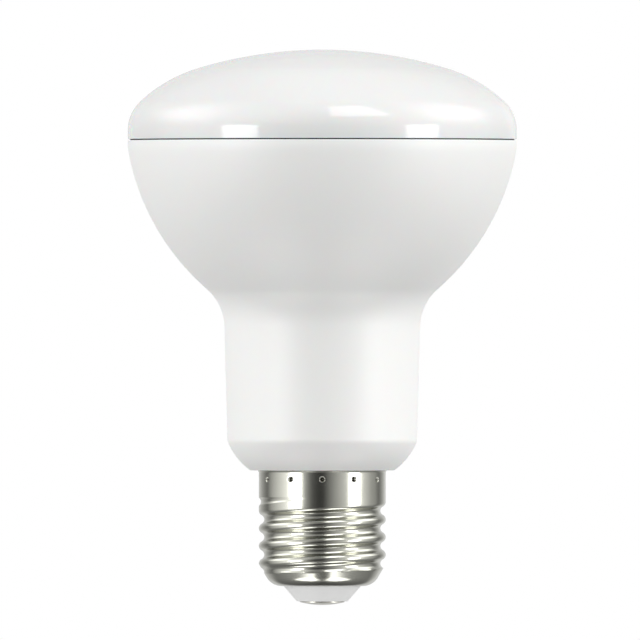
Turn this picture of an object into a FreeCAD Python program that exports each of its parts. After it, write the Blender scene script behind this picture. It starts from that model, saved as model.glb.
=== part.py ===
"""Reflector lamp with a screw cap: lengths in millimetres, +Z up, origin at the tip of the centre contact.

A moulded housing flares from a straight neck to an 80 mm rim and carries an opal diffuser in a half-lap.
The thin sheet cap with its rolled thread is pushed over a collar under the housing and staked to it.
Inside are the heat plate with the light board, the driver board in its rails, and the leads between them.
"""
import FreeCAD, Part
import Sketcher
import math
import os
from types import SimpleNamespace
from FreeCAD import Placement, Rotation, Vector

os.makedirs("parts", exist_ok=True)
doc = FreeCAD.newDocument("reflector_lamp")


# Driving dimensions, one cell each. Heights are measured up from the tip of the contact.
SIZES = {
    # outside form of the diffuser
    "overall_height": 114.2,
    "bulb_diameter": 80.0,
    "dome_rise": 16.5,
    "dome_edge_radius": 8.0,
    "dome_edge_angle": 46.75,
    "dome_crown_angle": 73.03,
    "diffuser_side": 1.9,
    "diffuser_wall": 2.0,
    # seam between diffuser and housing
    "seam_gap": 0.25,
    "lap_depth": 2.4,
    "lap_seat_width": 1.6,
    "lip_thickness": 1.0,
    "lap_clearance": 0.05,
    "bead_setback": 0.5,
    "bead_width": 0.45,
    # outside form of the housing
    "rim_land": 1.7,
    "bell_radius": 49.46,
    "bell_start_angle": 9.8,
    "blend_radius": 10.42,
    "neck_diameter": 39.0,
    "neck_taper": 1.54,
    "neck_corner_rise": 6.0,
    "corner_radius": 2.5,
    "foot_arc_radius": 13.46,
    "foot_overhang": 1.75,
    "foot_height": 27.7,
    "housing_wall": 1.8,
    # collar that carries the cap
    "collar_length": 4.4,
    "collar_wall": 1.75,
    "collar_clearance": 0.1,
    # ledge and bosses for the heat plate
    "ledge_drop": 4.6,
    "ledge_width": 2.0,
    "boss_inset": 4.5,
    "boss_diameter": 5.6,
    "boss_length": 9.0,
    # screw cap
    "cap_diameter": 26.1,
    "thread_depth": 1.1,
    "thread_pitch": 3.629,
    "thread_start_height": 8.52,
    "thread_low_gap": 1.4,
    "thread_low_fade": 1.5,
    "thread_high_gap": 1.5,
    "thread_high_fade": 2.2,
    "cap_sheet": 0.3,
    "cap_base_height": 3.9,
    "cap_base_flat": 0.75,
    "shoulder_radius": 3.2,
    "lead_in_angle": 30.0,
    # staking dents round the cap
    "dent_count": 12,
    "dent_drop": 1.8,
    "dent_diameter": 1.5,
    "dent_floor_diameter": 0.7,
    "dent_depth": 0.55,
    "dent_wall": 0.21,
    "dent_clearance": 0.1,
    # insulator and contact
    "insulator_base_height": 0.75,
    "insulator_rim": 0.6,
    "insulator_flange_overlap": 1.2,
    "insulator_flange_thickness": 2.2,
    "insulator_clearance": 0.05,
    "contact_diameter": 9.2,
    "contact_edge": 0.15,
    "rivet_diameter": 2.4,
    "rivet_clearance": 0.05,
    "rivet_stand": 2.0,
    "clinch_diameter": 4.0,
    "clinch_height": 0.5,
    # heat plate and its screws
    "plate_thickness": 1.5,
    "plate_clearance": 0.1,
    "plate_screw_count": 3,
    "plate_screw_diameter": 2.4,
    "plate_screw_length": 7.0,
    "plate_screw_head_diameter": 4.4,
    "plate_screw_head_height": 1.4,
    "screw_hole_clearance": 0.15,
    "screw_fit": 0.05,
    # light board
    "board_margin": 2.6,
    "board_thickness": 1.2,
    "board_screw_count": 2,
    "board_screw_diameter": 2.0,
    "board_screw_length": 4.4,
    "board_screw_head_diameter": 3.6,
    "board_screw_head_height": 1.2,
    "lead_hole_diameter": 5.0,
    "lead_hole_offset": 3.8,
    "led_length": 3.5,
    "led_width": 2.8,
    "led_height": 0.7,
    "led_window_margin": 0.4,
    "led_window_depth": 0.2,
    "led_outer_inset": 7.0,
    "led_outer_count": 12,
    "led_inner_share": 0.43,
    "led_inner_count": 6,
    "connector_length": 6.0,
    "connector_width": 4.0,
    "connector_height": 2.6,
    "connector_gap": 0.3,
    # driver board and the rails that hold it
    "driver_thickness": 1.2,
    "driver_edge_gap": 1.1,
    "driver_length": 37.0,
    "driver_rise": 6.8,
    "tail_width": 17.0,
    "tail_length": 19.0,
    "rail_length": 22.0,
    "rail_stop": 1.2,
    "rail_depth": 1.2,
    "rail_side": 1.5,
    "rail_clearance": 0.15,
    # parts of the driver
    "core_width": 16.4,
    "core_height": 15.0,
    "core_depth": 4.8,
    "core_leg": 4.6,
    "core_outer_leg": 2.3,
    "core_yoke": 2.5,
    "bobbin_wall": 0.6,
    "bobbin_flange_depth": 10.0,
    "bobbin_flange_thickness": 0.8,
    "winding_inset": 0.4,
    "transformer_clearance": 0.1,
    "transformer_rise": 18.0,
    "input_can_diameter": 10.0,
    "input_can_length": 17.0,
    "input_can_rise": 12.0,
    "output_can_diameter": 8.0,
    "output_can_length": 12.0,
    "output_can_rise": 16.0,
    "can_edge": 0.6,
    "row_inset": 3.6,
    "part_clearance": 0.1,
    "film_length": 12.0,
    "film_depth": 5.0,
    "film_height": 11.0,
    "film_rise": 3.0,
    "bridge_width": 4.7,
    "bridge_height": 4.0,
    "bridge_depth": 2.5,
    "bridge_rise": 5.0,
    "chip_width": 4.9,
    "chip_height": 3.9,
    "chip_depth": 1.5,
    "chip_rise": 7.0,
    "chip_offset": 1.0,
    "diode_diameter": 2.7,
    "diode_length": 5.2,
    "diode_rise": 20.0,
    "choke_diameter": 8.0,
    "choke_waist_diameter": 6.6,
    "choke_length": 8.0,
    "choke_flange": 1.2,
    "choke_rise": 5.5,
    "fuse_diameter": 3.2,
    "fuse_length": 9.0,
    "fuse_drop": 14.5,
    "fuse_offset": 4.0,
    # leads
    "lead_diameter": 1.3,
    "lead_bend": 1.7,
    "lead_offset": 3.0,
    "lead_overlap": 4.0,
    "lead_low_share": 0.34,
    "lead_high_share": 0.17,
    "lead_end_run": 3.1,
    "neutral_gap": 0.45,
    "led_lead_spacing": 2.0,
}

sheet = doc.addObject("Spreadsheet::Sheet", "Sizes")
for row, (name, value) in enumerate(SIZES.items(), start=1):
    sheet.set(f"A{row}", name)
    sheet.set(f"B{row}", str(value))
    sheet.setAlias(f"B{row}", name)
doc.recompute()


class Measure:
    """A size worked out from the sheet: its number, and the expression that keeps a feature bound to it."""

    def __init__(self, number, text):
        self.number = float(number)
        self.text = text

    def __add__(self, other):
        return Measure(self.number + plain(other), f"({self.text} + {written(other)})")

    def __sub__(self, other):
        return Measure(self.number - plain(other), f"({self.text} - {written(other)})")

    def __mul__(self, other):
        return Measure(self.number * plain(other), f"{self.text} * {written(other)}")

    def __truediv__(self, other):
        return Measure(self.number / plain(other), f"{self.text} / {written(other)}")

    def __neg__(self):
        return Measure(-self.number, f"(0 - {self.text})")


def plain(value):
    """The number of a measure, or a plain count as it is."""
    return value.number if isinstance(value, Measure) else float(value)


def written(value):
    """The expression of a measure, or a plain count as text."""
    return value.text if isinstance(value, Measure) else str(value)


def sine(angle):
    return Measure(math.sin(math.radians(angle.number)), f"sin({angle.text} * 1 deg)")


def cosine(angle):
    return Measure(math.cos(math.radians(angle.number)), f"cos({angle.text} * 1 deg)")


size = SimpleNamespace(**{name: Measure(value, f"Sizes.{name}") for name, value in SIZES.items()})
nothing = Measure(0.0, "0")
one = Measure(1.0, "1")


def bind(thing, **measures):
    """Bind properties of an object to the sheet."""
    for name, measure in measures.items():
        thing.setExpression(name, measure.text)


def move(thing, across=nothing, deep=nothing, up=nothing, rotation=None):
    """Place an object: its rotation is fixed, and its three distances are bound to the sheet."""
    thing.Placement = Placement(Vector(), rotation or Rotation())
    for axis, measure in (("x", across), ("y", deep), ("z", up)):
        thing.setExpression(f"Placement.Base.{axis}", measure.text)
    return thing


def new_body(label):
    body = doc.addObject("PartDesign::Body", label)
    body.Label = label
    return body


def origin_plane(body, role):
    return next(feature for feature in body.Origin.OriginFeatures if feature.Role == role)


class Outline:
    """A closed outline, drawn head to tail in a sketch. Across runs from the lamp's axis, up along it."""

    def __init__(self, body, name, role="XZ_Plane"):
        self.sketch = body.newObject("Sketcher::SketchObject", name)
        self.sketch.AttachmentSupport = [(origin_plane(body, role), "")]
        self.sketch.MapMode = "FlatFace"
        self.edges = []

    def constrain(self, kind, *places, measure=None):
        """Add a constraint, and bind its value to the sheet when it has one."""
        values = () if measure is None else (measure.number,)
        index = self.sketch.addConstraint(Sketcher.Constraint(kind, *places, *values))
        if measure is not None:
            self.sketch.setExpression(f"Constraints[{index}]", measure.text)

    def add(self, geometry, tail, head, smooth):
        index = self.sketch.addGeometry(geometry, False)
        if self.edges:
            before = self.edges[-1]
            self.constrain("Tangent" if smooth else "Coincident", before[0], before[2], index, tail)
        self.edges.append((index, tail, head))
        return index

    def line(self, start, end, smooth=False):
        """A straight side between two points given as numbers."""
        return self.add(Part.LineSegment(Vector(*start, 0), Vector(*end, 0)), 1, 2, smooth)

    def arc(self, centre, start, end, clockwise=False, smooth=False):
        """A round side about a centre, from start to end."""
        radius = math.dist(centre, start)
        first = math.atan2(start[1] - centre[1], start[0] - centre[0])
        last = math.atan2(end[1] - centre[1], end[0] - centre[0])
        low, high = (last, first) if clockwise else (first, last)
        if high < low:
            high += 2 * math.pi
        circle = Part.Circle(Vector(*centre, 0), Vector(0, 0, 1), radius)
        tail, head = (2, 1) if clockwise else (1, 2)
        return self.add(Part.ArcOfCircle(circle, low, high), tail, head, smooth)

    def pin(self, edge, point, across=None, up=None):
        """Dimension a point from the origin; a distance of nothing puts it on that axis."""
        for kind, measure, axis in (("DistanceX", across, -2), ("DistanceY", up, -1)):
            if measure is nothing:
                self.constrain("PointOnObject", edge, point, axis)
            elif measure is not None:
                self.constrain(kind, edge, point, measure=measure)

    def same_centre(self, edge, other):
        self.constrain("Coincident", edge, 3, other, 3)

    def close(self):
        first, last = self.edges[0], self.edges[-1]
        self.constrain("Coincident", last[0], last[2], first[0], first[1])
        return self.sketch

    def corners(self, places):
        """A whole outline of straight sides, each corner dimensioned from the origin."""
        numbers = [(across.number, up.number) for across, up in places]
        for start, end in zip(numbers, numbers[1:] + numbers[:1]):
            self.line(start, end)
        for edge, place in zip(self.edges, places):
            self.pin(edge[0], edge[1], *place)
        return self.close()


def turned(body, sketch):
    """The solid that an outline sweeps in one turn about the lamp's axis."""
    feature = body.newObject("PartDesign::Revolution", f"{body.Label}_turned")
    feature.Profile = sketch
    feature.ReferenceAxis = (sketch, ["V_Axis"])
    feature.Angle = 360
    sketch.Visibility = False
    return feature


def block(label, across, deep, up):
    """A box between two places along each direction, given as (low, high) pairs."""
    box = doc.addObject("Part::Box", label)
    box.Label = label
    bind(box, Length=across[1] - across[0], Width=deep[1] - deep[0], Height=up[1] - up[0])
    return move(box, across[0], deep[0], up[0])


def rod(label, diameter, length, rotation=None, **place):
    """A cylinder that stands on a place, along Z unless it is turned."""
    cylinder = doc.addObject("Part::Cylinder", label)
    cylinder.Label = label
    bind(cylinder, Radius=diameter / 2, Height=length)
    return move(cylinder, rotation=rotation, **place)


def fused(label, pieces):
    union = doc.addObject("Part::MultiFuse", label)
    union.Label = label
    union.Shapes = pieces
    return union


def without(label, base, tool):
    cut = doc.addObject("Part::Cut", label)
    cut.Label = label
    cut.Base = base
    cut.Tool = tool
    return cut


def about(middle, whole):
    """The two ends of a size that is centred on a place."""
    return middle - whole / 2, middle + whole / 2


def tangent_height(base, slope, offset, centre, reach):
    """Both heights at which a leaning line, moved sideways by offset, is a reach away from a centre.

    The line is at across = base(0) + slope * (height - base(1)) + offset.
    """
    start = base[0] + offset - slope * base[1] - centre[0]
    a = 1 + slope * slope
    b = 2 * (slope * start - centre[1])
    c = start * start + centre[1] ** 2 - reach * reach
    spread = math.sqrt(b * b - 4 * a * c)
    return (-b - spread) / (2 * a), (-b + spread) / (2 * a)


# Heights that more than one piece shares.
dome_height = size.overall_height - size.dome_rise
seam_top = dome_height - size.diffuser_side
seam_bottom = seam_top - size.seam_gap
lap_seat = seam_bottom - size.lap_depth
ledge_height = seam_bottom - size.ledge_drop
plate_top = ledge_height + size.plate_thickness
light_board_top = plate_top + size.board_thickness
floor_height = size.foot_height + size.housing_wall
collar_bottom = size.foot_height - size.collar_length
driver_base = size.foot_height + size.driver_rise
driver_top = driver_base + size.driver_length
rim_radius = size.bulb_diameter / 2
lip_radius = rim_radius - size.lip_thickness
pocket_radius = lip_radius - size.lap_seat_width
plate_radius = pocket_radius - size.plate_clearance
ledge_radius = pocket_radius - size.ledge_width
cap_radius = size.cap_diameter / 2
cap_inside_radius = cap_radius - size.cap_sheet
collar_radius = cap_inside_radius - size.collar_clearance
foot_radius = cap_radius + size.foot_overhang
neck_radius = size.neck_diameter / 2


# Diffuser: an opal moulding. Three tangent arcs make the dome, and a spigot drops inside the housing's lip.
diffuser = new_body("diffuser")
outline = Outline(diffuser, "diffuser_section")
edge = size.dome_edge_radius
edge_sine, edge_cosine = sine(size.dome_edge_angle), cosine(size.dome_edge_angle)
crown_sine, crown_cosine = sine(size.dome_crown_angle), cosine(size.dome_crown_angle)

# The edge arc turns by the first angle, the middle arc up to the second and the crown arc up to the axis.
# Their steps inwards add up to the rim's radius and their steps upwards to the rise, which gives two radii.
rise_left = size.dome_rise - edge * edge_sine
reach_left = rim_radius - edge * (one - edge_cosine)
middle_rise, middle_reach = crown_sine - edge_sine, edge_cosine - crown_cosine
crown_rise, crown_reach = one - crown_sine, crown_cosine
mixed = middle_rise * crown_reach - crown_rise * middle_reach
middle = (rise_left * crown_reach - crown_rise * reach_left) / mixed
crown = (middle_rise * reach_left - middle_reach * rise_left) / mixed
crown_centre = (0.0, size.overall_height.number - crown.number)
edge_centre = (rim_radius.number - edge.number, dome_height.number)
middle_centre = (
    edge_centre[0] - (middle - edge).number * edge_cosine.number,
    edge_centre[1] - (middle - edge).number * edge_sine.number,
)


def beyond(origin, through, distance):
    """The point at a distance from an origin on the line through another point."""
    whole = math.dist(origin, through)
    return (
        origin[0] + (through[0] - origin[0]) * distance / whole,
        origin[1] + (through[1] - origin[1]) * distance / whole,
    )


wall = size.diffuser_wall.number
spigot_radius = lip_radius - size.lap_clearance
spigot_bottom = lap_seat + size.lap_clearance
inner_radius = rim_radius - size.diffuser_wall
outer_rings = [
    (rim_radius.number, dome_height.number),
    beyond(middle_centre, edge_centre, middle.number),
    beyond(crown_centre, middle_centre, crown.number),
    (0.0, size.overall_height.number),
]
inner_rings = [
    (0.0, size.overall_height.number - wall),
    beyond(crown_centre, middle_centre, crown.number - wall),
    beyond(middle_centre, edge_centre, middle.number - wall),
    (inner_radius.number, dome_height.number),
]
centres = [edge_centre, middle_centre, crown_centre]
side = outline.line((rim_radius.number, seam_top.number), outer_rings[0])
outer_arcs = [
    outline.arc(centre, start, end, smooth=True)
    for centre, start, end in zip(centres, outer_rings, outer_rings[1:])
]
apex = outline.line(outer_rings[-1], inner_rings[0])
inner_arcs = [
    outline.arc(centre, start, end, clockwise=True, smooth=number > 0)
    for number, (centre, start, end) in enumerate(zip(reversed(centres), inner_rings, inner_rings[1:]))
]
inside = outline.line(inner_rings[-1], (inner_radius.number, spigot_bottom.number), smooth=True)
spigot_corner = (spigot_radius.number, spigot_bottom.number)
spigot_end = outline.line((inner_radius.number, spigot_bottom.number), spigot_corner)
spigot_side = outline.line(spigot_corner, (spigot_radius.number, seam_top.number))
seam_face = outline.line((spigot_radius.number, seam_top.number), (rim_radius.number, seam_top.number))
outline.close()
outline.pin(side, 1, rim_radius, seam_top)
outline.constrain("Vertical", side)
for arc, radius in zip(outer_arcs, (edge, middle, crown)):
    outline.constrain("Radius", arc, measure=radius)
outline.pin(outer_arcs[0], 3, up=dome_height)
outline.pin(outer_arcs[2], 3, across=nothing)
outline.pin(outer_arcs[2], 2, across=nothing, up=size.overall_height)
outline.constrain("Vertical", apex)
for arc, other in zip(inner_arcs, reversed(outer_arcs)):
    outline.same_centre(arc, other)
outline.pin(inner_arcs[0], 2, up=size.overall_height - size.diffuser_wall)
outline.constrain("Vertical", inside)
outline.pin(spigot_end, 1, up=spigot_bottom)
outline.constrain("Horizontal", spigot_end)
outline.pin(spigot_side, 1, across=spigot_radius)
outline.constrain("Vertical", spigot_side)
outline.constrain("Horizontal", seam_face)
turned(diffuser, outline.sketch)


# Seam bead: a dark ring of adhesive that bonds the diffuser to the lip, set back from the outside.
seam_bead = new_body("seam_bead")
bead_radius = rim_radius - size.bead_setback
turned(seam_bead, Outline(seam_bead, "bead_section").corners([
    (bead_radius - size.bead_width, seam_bottom),
    (bead_radius, seam_bottom),
    (bead_radius, seam_top),
    (bead_radius - size.bead_width, seam_top),
]))


# Housing: a satin moulding of even wall. Land, bell, blend, neck and rounded foot outside; the plate's
# ledge, the same curves and the cap's collar inside.
housing = new_body("housing")
outline = Outline(housing, "housing_section")
wall = size.housing_wall.number
taper = math.radians(size.neck_taper.number)
slope = math.tan(taper)
corner_height = size.foot_height + size.neck_corner_rise
land_height = seam_bottom - size.rim_land
bell, blend, foot_arc = size.bell_radius.number, size.blend_radius.number, size.foot_arc_radius.number
bell_rise = size.bell_radius * sine(size.bell_start_angle)
bell_centre = (
    rim_radius.number - math.sqrt(bell**2 - bell_rise.number**2),
    land_height.number + bell_rise.number,
)
virtual_corner = (neck_radius.number, corner_height.number)
foot_edge = (foot_radius.number, size.foot_height.number)


def on_neck(height, offset):
    """The point at a height on the neck's side, moved outwards square to it."""
    return virtual_corner[0] + slope * (height - virtual_corner[1]) + offset / math.cos(taper), height


def neck_side(centre, radius):
    """Where a round about a centre outside (or, with a negative radius, inside) the neck touches it."""
    return centre[0] - radius * math.cos(taper), centre[1] + radius * math.sin(taper)


blend_height = tangent_height(virtual_corner, slope, blend / math.cos(taper), bell_centre, bell + blend)[0]
blend_centre = on_neck(blend_height, blend)
chord = math.dist(virtual_corner, foot_edge)
chord_rise = math.sqrt(foot_arc**2 - (chord / 2) ** 2)
foot_centre = (
    (virtual_corner[0] + foot_edge[0]) / 2 - (virtual_corner[1] - foot_edge[1]) / chord * chord_rise,
    (virtual_corner[1] + foot_edge[1]) / 2 + (virtual_corner[0] - foot_edge[0]) / chord * chord_rise,
)
corner = size.corner_radius.number
round_height = min(
    tangent_height(virtual_corner, slope, -corner / math.cos(taper), foot_centre, foot_arc - corner),
    key=lambda height: abs(height - virtual_corner[1]),
)
round_centre = on_neck(round_height, -corner)
inner_corner_height = min(
    tangent_height(virtual_corner, slope, -wall / math.cos(taper), foot_centre, foot_arc - wall),
    key=lambda height: abs(height - virtual_corner[1]),
)
inner_corner = on_neck(inner_corner_height, -wall)
floor_edge = (
    foot_centre[0] + math.sqrt((foot_arc - wall) ** 2 - (floor_height.number - foot_centre[1]) ** 2),
    floor_height.number,
)
bell_top = (
    ledge_radius.number,
    bell_centre[1] - math.sqrt((bell - wall) ** 2 - (ledge_radius.number - bell_centre[0]) ** 2),
)
bore_radius = collar_radius - size.collar_wall
lip_top = outline.line((lip_radius.number, seam_bottom.number), (rim_radius.number, seam_bottom.number))
land = outline.line((rim_radius.number, seam_bottom.number), (rim_radius.number, land_height.number))
bell_end = beyond(bell_centre, blend_centre, bell)
bell_arc = outline.arc(bell_centre, (rim_radius.number, land_height.number), bell_end, clockwise=True)
blend_arc = outline.arc(blend_centre, bell_end, neck_side(blend_centre, blend), smooth=True)
neck_end = neck_side(round_centre, -corner)
neck_line = outline.line(neck_side(blend_centre, blend), neck_end, smooth=True)
round_end = beyond(foot_centre, round_centre, foot_arc)
corner_arc = outline.arc(round_centre, neck_end, round_end, clockwise=True, smooth=True)
foot_curve = outline.arc(foot_centre, round_end, foot_edge, clockwise=True, smooth=True)
foot_face = outline.line(foot_edge, (collar_radius.number, size.foot_height.number))
collar_corner = (collar_radius.number, collar_bottom.number)
collar_side = outline.line((collar_radius.number, size.foot_height.number), collar_corner)
collar_end = outline.line(collar_corner, (bore_radius.number, collar_bottom.number))
bore = outline.line((bore_radius.number, collar_bottom.number), (bore_radius.number, floor_height.number))
floor = outline.line((bore_radius.number, floor_height.number), floor_edge)
inner_foot = outline.arc(foot_centre, floor_edge, inner_corner)
inner_neck = outline.line(inner_corner, neck_side(blend_centre, blend + wall))
inner_bell_start = beyond(bell_centre, blend_centre, bell - wall)
inner_blend = outline.arc(
    blend_centre, neck_side(blend_centre, blend + wall), inner_bell_start, clockwise=True, smooth=True
)
inner_bell = outline.arc(bell_centre, inner_bell_start, bell_top, smooth=True)
upright = outline.line(bell_top, (ledge_radius.number, ledge_height.number))
ledge = outline.line((ledge_radius.number, ledge_height.number), (pocket_radius.number, ledge_height.number))
pocket = outline.line((pocket_radius.number, ledge_height.number), (pocket_radius.number, lap_seat.number))
seat = outline.line((pocket_radius.number, lap_seat.number), (lip_radius.number, lap_seat.number))
lip_side = outline.line((lip_radius.number, lap_seat.number), (lip_radius.number, seam_bottom.number))
outline.close()
outline.pin(lip_top, 1, lip_radius, seam_bottom)
outline.pin(lip_top, 2, rim_radius, seam_bottom)
outline.pin(land, 2, rim_radius, land_height)
outline.constrain("Radius", bell_arc, measure=size.bell_radius)
outline.pin(bell_arc, 3, up=land_height + bell_rise)
outline.constrain("Radius", blend_arc, measure=size.blend_radius)
corner_mark = outline.sketch.addGeometry(Part.Point(Vector(*virtual_corner, 0)), True)
outline.pin(corner_mark, 1, neck_radius, corner_height)
outline.constrain("PointOnObject", corner_mark, 1, neck_line)
outline.constrain("Angle", -2, 1, neck_line, 2, measure=size.neck_taper)
outline.constrain("Radius", corner_arc, measure=size.corner_radius)
outline.constrain("Radius", foot_curve, measure=size.foot_arc_radius)
outline.constrain("PointOnObject", corner_mark, 1, foot_curve)
outline.pin(foot_face, 1, foot_radius, size.foot_height)
outline.pin(collar_side, 1, collar_radius, size.foot_height)
outline.pin(collar_end, 1, collar_radius, collar_bottom)
outline.pin(bore, 1, bore_radius, collar_bottom)
outline.pin(floor, 1, bore_radius, floor_height)
outline.constrain("Horizontal", floor)
outline.same_centre(inner_foot, foot_curve)
outline.constrain("Radius", inner_foot, measure=size.foot_arc_radius - size.housing_wall)
outline.constrain("Parallel", inner_neck, neck_line)
outline.same_centre(inner_blend, blend_arc)
outline.constrain("Radius", inner_blend, measure=size.blend_radius + size.housing_wall)
outline.same_centre(inner_bell, bell_arc)
outline.pin(upright, 1, across=ledge_radius)
outline.pin(ledge, 1, ledge_radius, ledge_height)
outline.pin(pocket, 1, pocket_radius, ledge_height)
outline.pin(seat, 1, pocket_radius, lap_seat)
outline.pin(lip_side, 1, lip_radius, lap_seat)
turned(housing, outline.sketch)


def padded(body, sketch, low, high, cut=False):
    """Pad or pocket a sketch on the body's XY plane between two heights."""
    kind = "PartDesign::Pocket" if cut else "PartDesign::Pad"
    feature = body.newObject(kind, f"{sketch.Name}_{'pocket' if cut else 'pad'}")
    feature.Profile = sketch
    sketch.AttachmentOffset = Placement(Vector(0, 0, low.number), Rotation())
    sketch.setExpression("AttachmentOffset.Base.z", low.text)
    feature.Reversed = cut
    bind(feature, Length=high - low)
    sketch.Visibility = False
    return feature


def rectangle(outline, across, deep):
    """A rectangle in an XY sketch between two places each way, every corner dimensioned."""
    outline.edges = []
    outline.corners([
        (across[0], deep[0]),
        (across[1], deep[0]),
        (across[1], deep[1]),
        (across[0], deep[1]),
    ])


def round_hole(outline, radius, across=nothing, up=nothing):
    """A circle in a sketch with its centre dimensioned."""
    circle = Part.Circle(Vector(across.number, up.number, 0), Vector(0, 0, 1), radius.number)
    index = outline.sketch.addGeometry(circle, False)
    outline.pin(index, 3, across, up)
    outline.constrain("Radius", index, measure=radius)


def repeated(body, feature, count):
    """A feature repeated evenly round the lamp's axis."""
    pattern = body.newObject("PartDesign::PolarPattern", f"{feature.Name}_round")
    pattern.Originals = [feature]
    pattern.Axis = (origin_plane(body, "Z_Axis"), [""])
    pattern.Angle = 360
    bind(pattern, Occurrences=count)
    feature.Visibility = False
    body.Tip = pattern
    return pattern


# Rails: moulded blocks inside the neck, slotted for the edges of the driver board, with a stop under it.
neck_inside = neck_radius - size.housing_wall
driver_half_width = neck_inside - size.driver_edge_gap
rail_outside = neck_inside + size.housing_wall / 2
rail_inside = driver_half_width - size.rail_depth
slot_half = size.driver_thickness / 2 + size.rail_clearance
rail_half = slot_half + size.rail_side
rail_base = driver_base - size.rail_stop
rail_top = rail_base + size.rail_length
slot_end = driver_half_width + size.rail_clearance
for side, outer, inner in (("right", rail_outside, rail_inside), ("left", -rail_inside, -rail_outside)):
    block_sketch = Outline(housing, f"rail_{side}", "XY_Plane")
    rectangle(block_sketch, sorted((outer, inner), key=plain), (-rail_half, rail_half))
    padded(housing, block_sketch.sketch, rail_base, rail_top)
slot_sketch = Outline(housing, "rail_slots", "XY_Plane")
rectangle(slot_sketch, (-slot_end, slot_end), (-slot_half, slot_half))
padded(housing, slot_sketch.sketch, driver_base, rail_top + size.rail_clearance, cut=True)

# Bosses for the plate's screws stand up the bell's wall to the ledge, each with a pilot hole.
boss_place = plate_radius - size.boss_inset
boss_base = ledge_height - size.boss_length
boss_sketch = Outline(housing, "boss", "XY_Plane")
round_hole(boss_sketch, size.boss_diameter / 2, boss_place, nothing)
boss = padded(housing, boss_sketch.sketch, boss_base, ledge_height)
repeated(housing, boss, size.plate_screw_count)
pilot_sketch = Outline(housing, "pilot", "XY_Plane")
round_hole(pilot_sketch, size.plate_screw_diameter / 2 + size.screw_fit, boss_place, nothing)
pilot = padded(housing, pilot_sketch.sketch, ledge_height - size.plate_screw_length, ledge_height, cut=True)
repeated(housing, pilot, size.plate_screw_count)


def dent_cone(body, name, kind, inner_place, outer_place, inner_radius, outer_radius):
    """A cone that points at the axis at the dents' height, repeated for each dent round the cap."""
    cone = body.newObject(f"PartDesign::{kind}", name)
    bind(cone, Radius1=inner_radius, Radius2=outer_radius, Height=outer_place - inner_place)
    move(cone, inner_place, nothing, dent_height, Rotation(Vector(0, 1, 0), 90))
    repeated(body, cone, size.dent_count)


# Pockets in the collar take the metal that the staking dents push in.
dent_height = size.foot_height - size.dent_drop
dent_floor = cap_radius - size.dent_depth
bump_floor_radius = size.dent_floor_diameter / 2 + size.dent_wall
bump_radius = size.dent_diameter / 2 + size.dent_wall
bump_end = dent_floor - size.cap_sheet
dent_cone(
    housing,
    "dent_pocket",
    "SubtractiveCone",
    bump_end - size.dent_clearance,
    cap_inside_radius,
    bump_floor_radius + size.dent_clearance,
    bump_radius + size.dent_clearance,
)


# Screw cap: nickel-plated sheet, drawn to a cup, with the thread rolled into inside and outside alike.
root_radius = cap_radius - size.thread_depth
shoulder_centre = root_radius - size.shoulder_radius
shoulder_height = size.cap_base_height + size.shoulder_radius
hole_radius = shoulder_centre - size.cap_base_flat
overshoot = 1.0


def cap_form(label, skin, corners_before, top):
    """The cup turned as a solid: a base, a round shoulder, a lead-in cone and the barrel, less a skin."""
    body = new_body(label)
    outline = Outline(body, f"{label}_section")
    radius = size.shoulder_radius - skin
    barrel = cap_radius - skin
    base = shoulder_height - radius
    lean = math.radians(size.lead_in_angle.number)
    centre = (shoulder_centre.number, shoulder_height.number)
    round_end = (
        centre[0] + radius.number * math.cos(lean),
        centre[1] - radius.number * math.sin(lean),
    )
    cone_top = (barrel.number, round_end[1] + (barrel.number - round_end[0]) / math.tan(lean))
    places = corners_before + [(None, base)]
    before = [(across.number, up.number) for across, up in corners_before] + [(centre[0], base.number)]
    for start, end, place in zip(before, before[1:], places):
        edge = outline.line(start, end)
        outline.pin(edge, 1, *place)
    outline.constrain("Horizontal", edge)
    shoulder = outline.arc(centre, before[-1], round_end, smooth=True)
    cone = outline.line(round_end, cone_top, smooth=True)
    side = outline.line(cone_top, (barrel.number, top.number))
    end = outline.line((barrel.number, top.number), (0.0, top.number))
    axis = outline.line((0.0, top.number), before[0])
    outline.close()
    outline.constrain("Radius", shoulder, measure=radius)
    outline.pin(shoulder, 3, across=shoulder_centre)
    outline.constrain("Angle", -2, 1, cone, 1, measure=-size.lead_in_angle)
    outline.pin(side, 1, across=barrel)
    outline.constrain("Vertical", side)
    outline.pin(end, 1, up=top)
    outline.pin(axis, 1, across=nothing, up=top)
    turned(body, outline.sketch)
    return body


cap_outside = cap_form("cap_outside", nothing, [(nothing, size.cap_base_height)], size.foot_height)
cap_inside = cap_form(
    "cap_inside",
    size.cap_sheet,
    [
        (nothing, size.cap_base_height - overshoot),
        (hole_radius, size.cap_base_height - overshoot),
        (hole_radius, size.cap_base_height + size.cap_sheet),
    ],
    size.foot_height + overshoot,
)


# Thread: a knuckle groove rolled into the sheet. It fades in over the shoulder and out under the collar.
HALF_PITCH_STEPS = 6
CREST_STEP = 4
POINTS_PER_TURN = 12
CLEAR_OF_CREST = 0.15
OUTSIDE_CREST = 1.5
STRETCH_TURNS = 0.5
STRETCH_START = 0.25
SHORTEST_STRETCH = 0.1


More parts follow.
